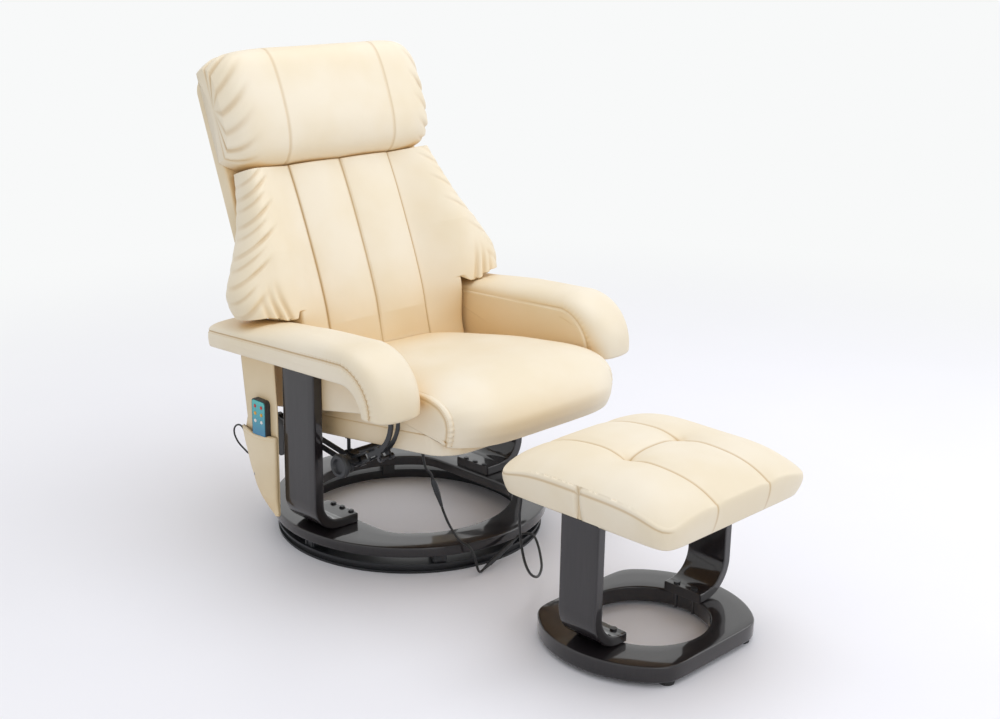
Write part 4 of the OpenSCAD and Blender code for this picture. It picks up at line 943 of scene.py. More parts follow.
@dataclass
class BentLeg:
    """Bent laminated strip: a foot plate, a quarter turn and an upright, with rounded edges."""

    name: str
    outer_x: float
    low: float
    thickness: float
    foot_t: float
    bend_r: float
    foot_end: float
    top: float
    width: float
    side: float
    centre: tuple[float, float]
    edge_r: float = 3.0
    clear: float = 6.0

    def build(self) -> bpy.types.Object:
        """Makes the strip: a rounded box section along the middle line, whose thickness grows to the leg."""
        mid_r = self.bend_r - self.thickness / 2
        corner_x = self.outer_x - self.bend_r
        corner_z = self.low + self.bend_r
        foot = [(x, self.low + self.foot_t / 2)
                for x in np.linspace(self.foot_end, corner_x - self.clear, 14)]
        arc = [(corner_x + mid_r * math.cos(t), corner_z + mid_r * math.sin(t))
               for t in np.linspace(-QUARTER, 0.0, 40)]
        post = [(self.outer_x - self.thickness / 2, z)
                for z in np.linspace(corner_z + self.clear, self.top, 40)]
        line = even_path(np.array(foot + arc + post), 150)
        spot = np.stack([self.side * line[:, 0] + self.centre[0],
                         np.full(len(line), self.centre[1]), line[:, 1]], axis=1)
        grow = ease(corner_x - 20.0, self.outer_x, line[:, 0])
        depth = mix(self.foot_t, self.thickness, grow) / self.thickness
        section = round_box_section(self.width, self.thickness, self.edge_r)[None]
        along = unit(np.gradient(spot, axis=0))
        across = np.array([0.0, 1.0, 0.0])
        rise = np.cross(along, across)
        rings = (spot[:, None] + section[..., :1] * across
                 + section[..., 1:] * depth[:, None, None] * rise[:, None])
        ends = [np.stack([drawn_in(rings[k], share) for share in (0.97, 0.9)]) for k in (0, -1)]
        rings[0] += along[0]
        rings[-1] -= along[-1]
        return skin_piece(self.name, np.concatenate([ends[0][::-1], rings, ends[1]]))


def build_woodwork() -> None:
    """Makes the wooden rings and the bent legs of the chair and of the footstool."""
    ring = RingPlate("chair_ring", 320.0, 238.0, 41.7, 65.5, inner_flat=195.0)
    place(ring.build(), "black_lacquer", Body.TURNING, "swivel_ring")
    for side, name in ((LEFT, "left_leg"), (RIGHT, "right_leg")):
        leg = BentLeg(f"{name}_bent", 325.6, 65.5, 25.0, 22.0, 68.6, 204.7, 452.0, 107.0, side, (0.0, 1.5))
        place(leg.build(), "black_lacquer", Body.TURNING, name)
    base = RingPlate("footstool_ring", 216.5, 128.0, 10.0, 44.0, FOOTSTOOL_CENTRE, outer_flat=174.0)
    place(base.build(), "black_lacquer", Body.FOOTSTOOL, "footstool_base")
    for k, side, nodes in ((1, LEFT, ["footstool_legs"]), (2, RIGHT, [])):
        leg = BentLeg(f"footstool_leg_{k}", 212.0, 44.0, 21.7, 20.0, 75.0, 116.0, 310.0, 93.0, side,
                      FOOTSTOOL_CENTRE)
        place(leg.build(), "black_lacquer", Body.FOOTSTOOL, *nodes)


# Upholstery


def wrinkles(x: np.ndarray, y: np.ndarray, seed: int, size: float, depth: float) -> np.ndarray:
    """Soft unevenness: a sum of six waves of about that size with fixed directions.

    Args:
        x: first place on the surface, in millimetres.
        y: second place.
        seed: picks the directions.
        size: wavelength.
        depth: the largest height.

    Returns:
        Height at each place.
    """
    rng = np.random.default_rng(seed)
    x, y = np.broadcast_arrays(x, y)
    total = np.zeros(x.shape)
    for _ in range(6):
        turn, phase, scale = rng.uniform(0, math.pi), rng.uniform(0, 2 * math.pi), rng.uniform(0.7, 1.4)
        along = x * math.cos(turn) + y * math.sin(turn)
        total = total + np.sin(along * 2 * math.pi / (size * scale) + phase)
    return depth * total / 6.0


@dataclass
class ArmPad:
    """Padded top of an arm: a band all round and a crowned top, which turns down at the front."""

    side: float
    in_x: float = 261.5
    out_x: float = 393.0
    rear_y: float = 224.0
    rear_bulge: float = 3.0
    turn_y: float = -222.0
    turn_r: float = 55.0
    rear_z: float = 450.0
    turn_z: float = 468.0
    band: float = 43.0
    crown: float = 34.0
    rear_crown: float = 16.0
    end_band: float = 28.0
    end_crown: float = 42.0
    corner: float = 9.0
    wall_swell: float = 1.6
    pucker_pitch: float = 11.0
    floor_columns: int = 30
    bend_columns: int = 5
    wall_columns: int = 22
    dome_columns: int = 128
    last_rings: tuple = ((0.96, 2.5), (0.88, 4.5), (0.7, 6.0), (0.4, 7.0))

    def section(self, band: np.ndarray, crown: np.ndarray, half: np.ndarray) -> list[np.ndarray]:
        """Outline of each cross section: floor, side, dome and other side.

        Args:
            band: height of the side band at each station.
            crown: height of the dome above it.
            half: half width.

        Returns:
            Arrays (stations, columns) of x and of height.
        """
        band, crown, half = (v[:, None] for v in (band, crown, half))
        c = self.corner
        floor = np.linspace(-1, 1, self.floor_columns)[None]
        turn = quarter(self.bend_columns + 2)[None, 1:-1]
        wall = np.linspace(0, 1, self.wall_columns)[None]
        dome = np.linspace(0, math.pi, self.dome_columns + 2)[None, 1:-1]
        swell = self.wall_swell * np.sin(math.pi * wall)
        xs = [floor * (half - c), half - c + c * np.sin(turn), half + swell,
              half * signed_power(np.cos(dome), 0.75), -half - swell, c - half - c * np.cos(turn)]
        ns = [floor * 0, c - c * np.cos(turn), c + (band - c) * wall, band + crown * np.sin(dome) ** 0.85,
              c + (band - c) * (1 - wall), c - c * np.sin(turn)]
        return [np.concatenate([np.broadcast_to(v, (len(band), v.shape[1])) for v in part], axis=1)
                for part in (xs, ns)]

    def build(self) -> None:
        """Makes the pad with its seams, puckers and stitch rows."""
        u = np.linspace(0, 1, 120)
        v = np.linspace(0, 1, 64)[1:]
        cap = np.array([0.0, 0.25, 0.5, 0.75])
        y = np.concatenate([mix(self.rear_y + self.rear_bulge, self.rear_y, cap),
                            mix(self.rear_y, self.turn_y, u), np.full(len(v), self.turn_y)])
        z = self.rear_z + (self.rear_y - y) * (self.turn_z - self.rear_z) / (self.rear_y - self.turn_y)
        straight = np.concatenate([np.zeros(len(cap)), u, np.ones(len(v))])
        bent = np.concatenate([np.zeros(len(cap) + len(u)), v])
        round_in = self.corner * np.concatenate([1 - np.sqrt(1 - (1 - cap) ** 2), np.zeros(len(u) + len(v))])
        band = mix(mix(self.band * 0.9, self.band, straight), self.end_band, bent) - round_in
        crown = mix(self.rear_crown, self.crown, np.minimum(1, straight * 1.6))
        crown = mix(crown, self.end_crown, bent) - round_in / 2
        half = (self.out_x - self.in_x) / 2 - round_in - self.corner / 2 * bent ** 3
        xs, ns = self.section(band, crown, half)
        ns = ns + round_in[:, None]
        turned, angle = bent[:, None] > 0, bent[:, None] * QUARTER
        out = self.turn_r + ns
        py = np.where(turned, self.turn_y - out * np.sin(angle), y[:, None])
        pz = np.where(turned, self.turn_z - self.turn_r + out * np.cos(angle), z[:, None] + ns)
        points = np.stack([(self.in_x + self.out_x) / 2 + xs, py, pz], axis=-1)
        normal = grid_normals(points)
        wall_end = self.floor_columns + self.bend_columns + self.wall_columns - 1
        dome_end = wall_end + self.dome_columns + 1
        col = np.arange(xs.shape[1])[None, :].astype(float)
        along = lengths_along(points[:, wall_end])[:, None]
        front = ease(300.0, 430.0, along)
        seam = bump(col, wall_end, 1.2) + 0.4 * bump(col, dome_end, 1.2) * front
        near = bump(col, wall_end + 4, 6.0) + bump(col, wall_end - 4, 5.0)
        near = near + 0.5 * bump(col, dome_end - 4, 6.0)
        pucker = np.sin(along * 2 * math.pi / self.pucker_pitch) * front * near
        soft = wrinkles(along, col * 2.0, 7 if self.side > 0 else 8, 120.0, 1.6)
        height = -2.2 * seam + 0.8 * pucker + soft * (ns > band[:, None] * 0.5)
        points = points + normal * height[..., None]
        ends = [drawn_in(points[-1], share) - (0.0, 0.0, drop) for share, drop in self.last_rings]
        rings = np.concatenate([points, ends])
        # Painted shade, with some seam dirt: the seam columns are darkened through the crease values.
        crease = np.vstack([np.clip(seam * 0.75, 0, 1), np.zeros((len(ends), xs.shape[1]))])
        rings[..., 0] *= self.side
        normal[..., 0] *= self.side
        name = SIDE_NAMES[self.side]
        pad = skin_piece(f"{name}_arm_padding", rings, crease)
        place(pad, "leatherette", Body.TURNING, f"{name}_arm_pad", fill=0.85)
        for k, c, low in ((1, wall_end - 3, 4), (2, wall_end + 4, 90)):
            row = slice(low, len(y) - 2)
            stitches = stitch_piece(f"{name}_arm_stitches_{k}", rings[row, c], normal[row, c])
            place(stitches, "thread", Body.TURNING)


def pad_rings(outline: np.ndarray, thickness: float, edge_r: float, swell: float) -> np.ndarray:
    """Rings of an upholstered board: its two edges rounded, its faces drawn in to their middle.

    Args:
        outline: array (n, 2).
        thickness: of the board.
        edge_r: radius of its edges.
        swell: how far its faces stand out in their middle.

    Returns:
        Array (rows, n, 3) of the outline's two places and the depth.
    """
    centre, inner = outline.mean(0), offset_outline(outline, edge_r)
    rings = [(mix(centre, inner, s), -swell * (1 - s ** 3)) for s in np.linspace(0.06, 0.96, 26)]
    rings += [(offset_outline(outline, edge_r - edge_r * math.sin(a)), edge_r - edge_r * math.cos(a))
              for a in quarter(7)]
    other = [(ring, thickness - depth) for ring, depth in reversed(rings)]
    return np.array([with_last(ring, depth) for ring, depth in rings + other])


@dataclass
class ArmPanel:
    """Upholstered board under an arm, between the seat and the leg."""

    side: float
    in_x: float = 259.6
    thickness: float = 40.4
    nose_centre: tuple[float, float] = (-222.0, 413.0)
    nose_r: float = 96.0
    rear: tuple = ((205, 301), (205, 490), (-100, 504))
    front: tuple = ((-286, 401), (-250, 382), (-212, 381))

    def build(self) -> None:
        """Makes the panel from its outline in (y, z), with a rounded nose under the pad."""
        y, z = self.nose_centre
        nose = [(y - (self.nose_r - 10 * a) * math.sin(a), z + (self.nose_r - 10 * a) * math.cos(a))
                for a in np.linspace(0.05, 1.6, 22)]
        outline = even_path(np.array([*self.rear, *nose, *self.front, self.rear[0]], float), 320, True)
        rows = pad_rings(outline, self.thickness, 5.0, 1.5)
        points = np.stack([self.side * (self.in_x + rows[..., 2]), rows[..., 0], rows[..., 1]], axis=-1)
        name = SIDE_NAMES[self.side]
        panel = skin_piece(f"{name}_arm_side", points)
        place(panel, "leatherette", Body.TURNING, f"{name}_arm_panel", fill=0.95)


@dataclass
class SeatCushion:
    """Seat: a profile that rises to the front and rolls over the nose, with flat side panels sewn in."""

    half: float = 256.0
    rear_y: float = 91.0
    depth: float = 543.0
    low_z: float = 272.0
    rise: float = 192.0
    rail: float = 30.3
    frame_y: float = 30.0
    lip_y: tuple[float, float] = (-394.0, -364.0)
    edge_r: float = 14.0
    gather_pitch: float = 13.0
    mid: tuple = ((0, 0.73), (0.17, 0.83), (0.35, 0.92), (0.54, 0.98), (0.72, 1), (0.84, 0.955),
                  (0.945, 0.81), (0.995, 0.64), (1, 0.5), (0.982, 0.385))
    flank: tuple = ((0, 0.48), (0.12, 0.55), (0.33, 0.68), (0.525, 0.8), (0.71, 0.875),
                    (0.82, 0.84), (0.876, 0.74), (0.896, 0.62), (0.896, 0.5), (0.885, 0.385))

    def on_frame(self, y: float) -> float:
        """Height 1 mm above the top of the seat frame at that y."""
        return self.low_z + 1.0 + self.rail / math.cos(SEAT_TILT) + (self.frame_y - y) * math.tan(SEAT_TILT)

    def outline(self, t: float) -> np.ndarray:
        """Profile in (y, z) between the middle one at t = 0 and the side one at t = 1."""
        shares = mix(np.array(self.mid), np.array(self.flank), t)
        top = smooth_path(np.array([self.rear_y, self.low_z]) + shares * (-self.depth, self.rise), 300)
        front_y, rear_y = mix(*self.lip_y, t), self.rear_y - 40.0
        front = np.array([front_y, self.on_frame(front_y) + 1.0])
        rear = np.array([rear_y, self.on_frame(rear_y)])
        lip = smooth_path([top[-1], top[-1] + (6, -4), front], 30)[1:]
        under = mix(front, rear, np.linspace(0, 1, 62)[1:, None])
        back = mix(rear, top[0], np.linspace(0, 1, 31)[1:-1, None])
        return np.vstack([top, lip, under, back])

    def build(self) -> None:
        """Makes the cushion with rounded sides, a side panel's seam and its gathers."""
        u = np.sin(np.linspace(-1, 1, 151) * QUARTER)
        inner = self.half - self.edge_r
        body = np.array([with_first(self.outline(abs(value) ** 5), value * inner) for value in u])
        side = self.outline(1.0)
        caps = [with_first(offset_outline(side, self.edge_r * (1 - math.cos(a))),
                           inner + self.edge_r * math.sin(a)) for a in quarter(9)[1:]]
        edge = caps[-1][:, 1:]
        caps += [with_first(drawn_in(edge, s), self.half + 1.5 * (1 - s ** 2))
                 for s in np.linspace(0.97, 0.05, 24)]
        points = np.concatenate([np.array(caps[::-1]) * (-1, 1, 1), body, caps])
        normal = grid_normals(points)
        x = points[..., 0]
        row = np.arange(len(points))[:, None].astype(float)
        col = np.arange(points.shape[1])[None, :].astype(float)
        first, second = len(caps) - 6, len(caps) + len(u) + 5
        along = lengths_along(side)[None, :]
        seam = (bump(row, first, 1.0) + bump(row, second, 1.0)) * (1 - ease(330.0, 340.0, col))
        front = ease(470.0, 560.0, along) * (1 - ease(760.0, 800.0, along))
        near = bump(row, first + 5, 5.0) + bump(row, second - 5, 5.0)
        gather = np.sin(along * 2 * math.pi / self.gather_pitch + 0.6 * np.sin(along / 17.0)) * near * front
        inside = (np.abs(x) < inner).astype(float)
        soft = wrinkles(x, along, 3, 150.0, 2.2) * inside * (1 - ease(250.0, 300.0, col))
        dip = -3.0 * bump(x, 0.0, 130.0) * bump(along, 190.0, 120.0)
        height = -1.6 * seam + 1.2 * gather + soft + dip
        points = points + normal * height[..., None]
        # Painted shade, with some seam dirt: the side seams are darkened through the crease values.
        cushion = skin_piece("seat_padding", points, np.clip(seam * 0.7, 0, 1))
        place(cushion, "leatherette", Body.SEAT, "seat_cushion", fill=0.85)
        for k, r in ((1, first + 2), (2, second - 2)):
            stitches = stitch_piece(f"seat_stitches_{k}", points[r, 150:330], normal[r, 150:330])
            place(stitches, "thread", Body.SEAT)


@dataclass
class SeatFrame:
    """Wooden seat frame: rails round a panel, with its two front corners rounded."""

    half: float = 249.0
    front: float = 421.0
    tall: float = 30.0
    rail: float = 22.0
    panel: float = 12.0
    corner: float = 58.0
    edge: float = 1.0
    middle: float = 150.0
    pivot: tuple[float, float] = (30.0, 273.0)

    def outline(self, inset: float) -> np.ndarray:
        """Outline in (x, along the frame), drawn in by inset."""
        reach, near, r = self.half - inset, self.front - inset, max(self.corner - inset, 2.0)
        bend = [(reach - r + r * math.sin(a), near - r + r * math.cos(a)) for a in quarter(12)]
        side = np.array(bend + [(reach, inset)])
        return even_path(np.vstack([side, side[::-1] * [-1, 1], side[:1]]), 360, True)

    def build(self) -> None:
        """Makes the frame as one closed skin: panel's underside, rail, sides and top."""
        under = self.tall - self.panel
        rows = [(self.rail + self.middle, under), (self.rail, under), (self.rail, 0.0), (self.edge, 0.0),
                (0.0, self.edge), (0.0, self.tall - self.edge), (self.edge, self.tall),
                (self.middle, self.tall)]
        cos, sin = math.cos(SEAT_TILT), math.sin(SEAT_TILT)
        rings = []
        for inset, rise in rows:
            x, along = self.outline(inset).T
            rings.append(np.stack([x, self.pivot[0] - along * cos + rise * sin,
                                   self.pivot[1] + along * sin + rise * cos], axis=1))
        thing = place(skin_piece("seat_rails", np.array(rings)), "board_wood", Body.SEAT, "seat_frame")
        for face in thing.data.polygons:
            face.use_smooth = False


@dataclass
class SeatSkirt:
    """Leatherette band drawn down over the seat frame's front and sides."""

    half: float = 249.0
    front_y: float = -388.0
    rear_y: float = 29.0
    low_z: float = 273.0
    tall: float = 42.0
    corner: float = 58.0
    gap: float = 0.5
    thickness: float = 6.2

    def build(self) -> None:
        """Makes the band: a thin closed section along the frame's two sides and front."""
        reach, near = self.half + self.gap, self.front_y - self.gap
        bend = [(-reach + self.corner * (1 - math.cos(a)), near + self.corner * (1 - math.sin(a)))
                for a in quarter(9)]
        side = np.array([(-reach, self.rear_y)] + bend)
        inner = even_path(np.vstack([side, side[::-1] * [-1, 1]]), 400)
        along = unit(np.gradient(inner, axis=0))
        out = np.stack([along[:, 1], -along[:, 0]], axis=1)
        low = self.low_z - 1.0 + (self.rear_y + 1.0 - inner[:, 1]) * math.tan(SEAT_TILT)
        near_front = 1 - ease(near + 10.0, near + 90.0, inner[:, 1])
        pucker = np.sin(np.arange(len(inner)) * 1.1) * bump(np.abs(inner[:, 0]), reach, 30.0) * near_front
        down = np.concatenate([np.linspace(1, 0, 14), np.linspace(0, 1, 14)])[None, :]
        away = np.concatenate([np.ones(14), np.zeros(14)])[None, :]
        depth = away * (self.thickness + (1.2 * np.sin(math.pi * down) + 0.5 * pucker[:, None]))
        flat = inner[:, None, :] + out[:, None, :] * depth[..., None]
        points = np.concatenate([flat, (low[:, None] + self.tall * down)[..., None]], axis=-1)
        place(skin_piece("seat_skirt", points), "leatherette", Body.SEAT)


@dataclass
class BackShape:
    """Where the back stands: places across, along and out of it, in millimetres."""

    lean: float = math.radians(21.0)
    foot_y: float = 203.5
    foot_z: float = 480.0
    top: float = 578.0
    depth: float = 137.0
    pad_n: float = 36.3
    seams: tuple = ((-0.25, 0.545), (-0.18, 0.575), (-0.08, 0.62), (0.02, 0.67), (0.15, 0.685),
                    (0.3, 0.675), (0.44, 0.65), (0.52, 0.625), (0.6, 0.59))

    def at(self, x: np.ndarray, v: np.ndarray, n: np.ndarray | float) -> np.ndarray:
        """Point at x, v along the back and n out of its rear face."""
        x, v, n = np.broadcast_arrays(x, v, n)
        return np.stack([x, self.foot_y + v * math.sin(self.lean) - n * math.cos(self.lean),
                         self.foot_z + v * math.cos(self.lean) + n * math.sin(self.lean)], axis=-1)

    def seam_n(self, v: np.ndarray) -> np.ndarray:
        """How far the seams lie out of the rear face, at v."""
        return smooth_table(self.seams, v / self.top) * self.depth


@dataclass
class MiddlePadding:
    """Two upright channels between the side seams."""

    shape: BackShape
    half: float = 146.7
    crown: float = 9.0
    under_columns: int = 40

    def build(self) -> None:
        """Makes the channels: n = seam depth + crown times a flat-topped arch, with sewn grooves."""
        v = np.linspace(BACK_LOW, PAD_TOP, 190)[:, None]
        x = np.linspace(self.half, -self.half, 161)[None, :]
        arch = np.abs(np.sin(math.pi * x / self.half)) ** 0.42
        fade = np.clip((v + 96.0) / 60.0, 0, 1)
        n = self.shape.seam_n(v[:, 0])[:, None] + self.crown * fade * arch
        n = n + wrinkles(x * 2.5, v, 21, 170.0, 1.1) * arch * fade
        seam = bump(x, 0.0, 1.9)
        top = self.shape.at(x, v, n - 1.6 * seam)
        under_x = np.linspace(-self.half, self.half, self.under_columns)[None, :]
        points = np.concatenate([top, self.shape.at(under_x, v, self.shape.pad_n)], axis=1)
        # Painted shade: darker along the middle seam and where the channels meet the bolsters, through the
        # crease values; the seam also takes some dirt.
        crease_shade_and_dirt = np.clip(seam * 0.8 + bump(np.abs(x), self.half, 2.5) * 0.6, 0, 1)
        crease = np.concatenate([crease_shade_and_dirt, np.zeros((1, self.under_columns))], axis=1)
        place(skin_piece("back_channels", points, crease), "leatherette", Body.BACK, "back_cushion", fill=0.8)
        normal = grid_normals(points)
        for k, c in ((1, 83), (2, 77)):
            place(stitch_piece(f"back_stitches_{k}", points[20:, c], normal[20:, c]), "thread", Body.BACK)


@dataclass
class Bolster:
    """Side padding: narrow between the arms, spread into a wing over the arm, gathered on its outer edge.

    A gather is a row of spots: its place along the back, its strength, its reach and its width. A
    crease over the arm is its share across, its turn per millimetre and its depth.
    """

    shape: BackShape
    side: float
    inner: float = 147.3
    waist: float = 252.0
    rear_waist: float = 232.0
    reach: float = 391.0
    ledge: float = 8.0
    ledge_rise: float = 34.0
    swell: float = 50.0
    sag: float = 16.0
    far_side: float = 0.45
    edge_low: float = 94.0
    edge_high: float = 58.0
    wings: tuple = ((0, 0.975), (0.04, 0.99), (0.085, 1), (0.135, 0.988), (0.19, 0.945), (0.254, 0.895),
                    (0.31, 0.845), (0.375, 0.80), (0.43, 0.77), (0.483, 0.745), (0.56, 0.715), (0.6, 0.705))
    gathers: tuple = ((12, 1.0, 70, 13), (48, 0.8, 46, 9), (84, 1.0, 74, 12), (122, 0.8, 50, 10),
                      (150, 1.1, 78, 12), (188, 0.7, 48, 9), (214, 1.0, 70, 11), (250, 0.8, 46, 9),
                      (276, 1.0, 66, 11), (306, 0.8, 50, 9))
    creases: tuple = ((0.56, 0.0012, 5.0), (0.68, 0.0006, 5.5), (0.80, -0.0002, 3.5))
    rear_columns: int = 30
    edge_columns: int = 14

    def columns(self, half: np.ndarray) -> np.ndarray:
        """Places across at each v: close together by the outer edge, even between waist and inner seam."""
        split = self.waist - 8.0
        out = np.linspace(1, 0, 76)[None, :-1] ** 0.75
        even = mix(split, self.inner, np.linspace(0, 1, 60))[None, :]
        return np.concatenate([mix(split, half, out), even + 0 * half], axis=1)

    def front_height(self, v: np.ndarray, x: np.ndarray) -> np.ndarray:
        """How far the padding stands out of the rear face before it rolls over at its edge."""
        over = np.minimum(1, 1.3 - 1.2 * v / self.shape.top)
        swell = self.swell * np.where(v > 0, over, 1 - 0.6 * ease(0, 110, -v))
        arch = np.sin(np.clip((x - self.inner) / 150.0, 0, 1) * QUARTER) ** 1.4
        return self.shape.seam_n(v[:, 0])[:, None] + swell * arch

    def build(self) -> None:
        """Makes the bolster: sections across at each v, with folds that run in from the outer edge."""
        lower = np.linspace(BACK_LOW, self.ledge - 0.3, 70)
        upper = np.linspace(self.ledge, PAD_TOP, 190)
        v = np.concatenate([lower, upper])[:, None]
        wing = np.concatenate([np.zeros(len(lower)), np.ones(len(upper))])[:, None]
        pad, depth = self.shape.pad_n, self.shape.depth
        wide = smooth_table(self.wings, np.maximum(v, 0) / self.shape.top) * self.reach
        half = np.where(wing > 0, wide, self.waist)
        rear_x = np.where(wing > 0, mix(wide, self.inner, 0.3), self.rear_waist)
        x = self.columns(half)
        edge = mix(self.edge_low, self.edge_high, np.clip(v / PAD_TOP, 0, 1))
        low_n = np.where(wing > 0, edge, pad * 1.5)
        share = np.clip((x - self.inner) / (half - self.inner), 0, 1)
        roll = (1 - share ** mix(22.0, 9.0, wing)) ** (1 / 2.3)
        height, shift = self.folds(v, half - x, share, wing)
        n = low_n + (self.front_height(v, x) - low_n) * roll + height * (1 - share ** 12)
        x = x + shift
        lift = self.ledge_rise * np.maximum(0, 1 - v / (self.ledge * 16)) * wing
        rise = v + lift * ease(self.waist - 6.0, self.waist + 34.0, x) * (1 - n / depth)
        by_arm = ease(self.waist - 2.0, self.waist + 12.0, x)
        by_arm = by_arm * (1 - ease(self.waist + 24.0, self.waist + 96.0, x))
        rise = rise - self.sag * by_arm * wing * np.clip(1 - (v - self.ledge) / 60.0, 0, 1) * n / depth
        front = self.shape.at(self.side * x, rise, n)
        back_x = mix(self.inner, rear_x, np.linspace(0, 1, self.rear_columns)[None, :])
        rear = self.shape.at(self.side * back_x, v + lift * (1 - pad / depth), pad)
        turn = quarter(self.edge_columns + 2)[None, 1:-1]
        edge_n = mix(pad, low_n, 1 - np.cos(turn))
        edge_x = self.side * mix(rear_x, x[:, :1], np.sin(turn))
        edge = self.shape.at(edge_x, v + lift * (1 - edge_n / depth), edge_n)
        points = np.concatenate([front, rear, edge], axis=1)
        # Painted shade: darker along the inner seam and in the gathers' hollows, through the crease values;
        # the seam also takes some dirt.
        crease_shade_and_dirt = np.clip(bump(x, self.inner, 3.0) * 0.7 + np.clip(-height / 9.0, 0, 0.35), 0, 1)
        crease = np.concatenate([crease_shade_and_dirt, np.zeros((len(v), self.rear_columns + self.edge_columns))], axis=1)
        name = SIDE_NAMES[self.side]
        padding = skin_piece(f"{name}_wing", points, crease)
        place(padding, "leatherette", Body.BACK, f"{name}_bolster", fill=0.7)

    def folds(self, v: np.ndarray, near: np.ndarray, share: np.ndarray,
              wing: np.ndarray) -> tuple[np.ndarray, np.ndarray]:
        """Heights of the gathers at the outer edge and of the creases over the arm, and the edge's scallops.

        Args:
            v: places along the back.
            near: distance from the outer edge.
            share: 0 at the inner seam, 1 at the outer edge.
            wing: 1 on the wing.

        Returns:
            Height out of the surface and shift across.
        """
        height, shift = np.zeros(share.shape), np.zeros(share.shape)
        pull = 1.0 if self.side < 0 else self.far_side
        for spot, deep, reach, width in self.gathers:
            strength = deep * pull
            line = spot + 0.75 * near
            fade = (1 - ease(reach * 0.35, reach, near)) * ease(0.0, 5.0, near + 2.0)
            height = height - 4.6 * strength * bump(v, line, width * 0.55) * fade
            height = height + 1.8 * strength * bump(v, line + width * 1.1, width * 0.8) * fade
            shift = shift - 1.8 * strength * bump(v, line, width * 0.7) * (1 - ease(0.0, 20.0, near))
        fade = (1 - ease(10.0, 95.0, v)) * ease(-20.0, 5.0, v)
        for centre, turn, deep in self.creases:
            line = centre + turn * v
            height = height + deep * fade * (0.5 * bump(share, line + 0.06, 0.04) - bump(share, line, 0.034))
        return height * wing, shift * wing


@dataclass
class Headrest:
    """Pillow at the top of the back, with two sewn lines and gathered ends.

    A gather is its column on the front and its strength; it drifts down the front as it runs in.
    """

    shape: BackShape
    reach: float = 296.0
    low: float = 337.0
    high: float = 604.0
    end_share: float = 0.76
    seam_x: float = 154.0
    under_columns: int = 40
    shares: tuple = ((0, 0.3), (0, 0.5), (0.03, 0.7), (0.12, 0.87), (0.27, 0.965), (0.45, 1), (0.65, 0.995),
                     (0.83, 0.95), (0.94, 0.86), (0.99, 0.72), (1, 0.5), (0.99, 0.3), (0.96, 0.08))
    gathers: tuple = ((30, 0.8), (52, 1.0), (76, 0.8), (98, 1.1), (122, 0.9), (146, 1.0), (168, 0.8))

    def build(self) -> None:
        """Makes the pillow: its side profile at each place across, drawn in at the ends."""
        pad, top = self.shape.pad_n, self.shape.top + 0.6
        profile = smooth_path(self.shares, 230)
        x = self.reach * signed_power(np.sin(np.linspace(-1, 1, 241) * QUARTER)[:, None], 0.9)
        t = np.abs(x / self.reach) ** 9
        pv, pn = profile[None, :, 0], profile[None, :, 1]
        along = mix(self.low, self.high, mix(pv, mix(0.5, pv, self.end_share), t))
        n = mix(pn, np.minimum(pn, mix(0.27, pn, 0.56)), t) * self.shape.depth
        depth = np.maximum(n, np.where(pv > 0.93, mix(n, pad, t), pad))
        front = self.shape.at(x, along, depth)
        under_v = np.concatenate([[top], np.linspace(top, self.low + 1.0, self.under_columns)])[None]
        under_n = np.concatenate([[4.0], np.full(self.under_columns, pad)])[None]
        drawn = mix(under_v, mix(mix(self.low, self.high, 0.5), under_v, self.end_share), t)
        points = np.concatenate([front, self.shape.at(x, drawn, mix(under_n, pad, t))], axis=1)
        normal = grid_normals(points)
        columns = len(profile)
        col = np.arange(points.shape[1])[None, :].astype(float)
        face = ease(12.0, 34.0, col) * (1 - ease(columns - 24.0, columns - 6.0, col))
        seam = bump(np.abs(x), self.seam_x, 1.9) * face
        end = np.abs(x) / self.reach
        fade = ease(0.76, 0.96, end)
        folds = np.zeros(points.shape[:2])
        for spot, strength in self.gathers:
            drift = spot + 104.0 * (1 - end)
            fold = 1.8 * bump(col, drift + 7.5, 4.6) - 4.4 * bump(col, drift, 3.6)
            folds = folds + strength * fade * fold
        soft = wrinkles(x, col * 2.6, 31, 190.0, 2.0) * face
        height = -1.5 * seam + folds * face + soft
        points = points + normal * height[..., None]
        # Painted shade: darker along the two sewn lines and in the gathers' hollows, through the crease
        # values; the seams also take some dirt.
        crease = np.clip(0.75 * seam + np.clip(-folds / 11.0, 0, 0.35) * face, 0, 1)
        place(skin_piece("headrest_pillow", points, crease), "leatherette", Body.BACK, "headrest", fill=0.75)
        row = slice(26, columns - 16)
        for k, value in ((1, -self.seam_x - 4.0), (2, self.seam_x - 4.0)):
            r = int(np.argmin(np.abs(x[:, 0] - value)))
            place(stitch_piece(f"headrest_stitches_{k}", points[r, row], normal[r, row]), "thread", Body.BACK)


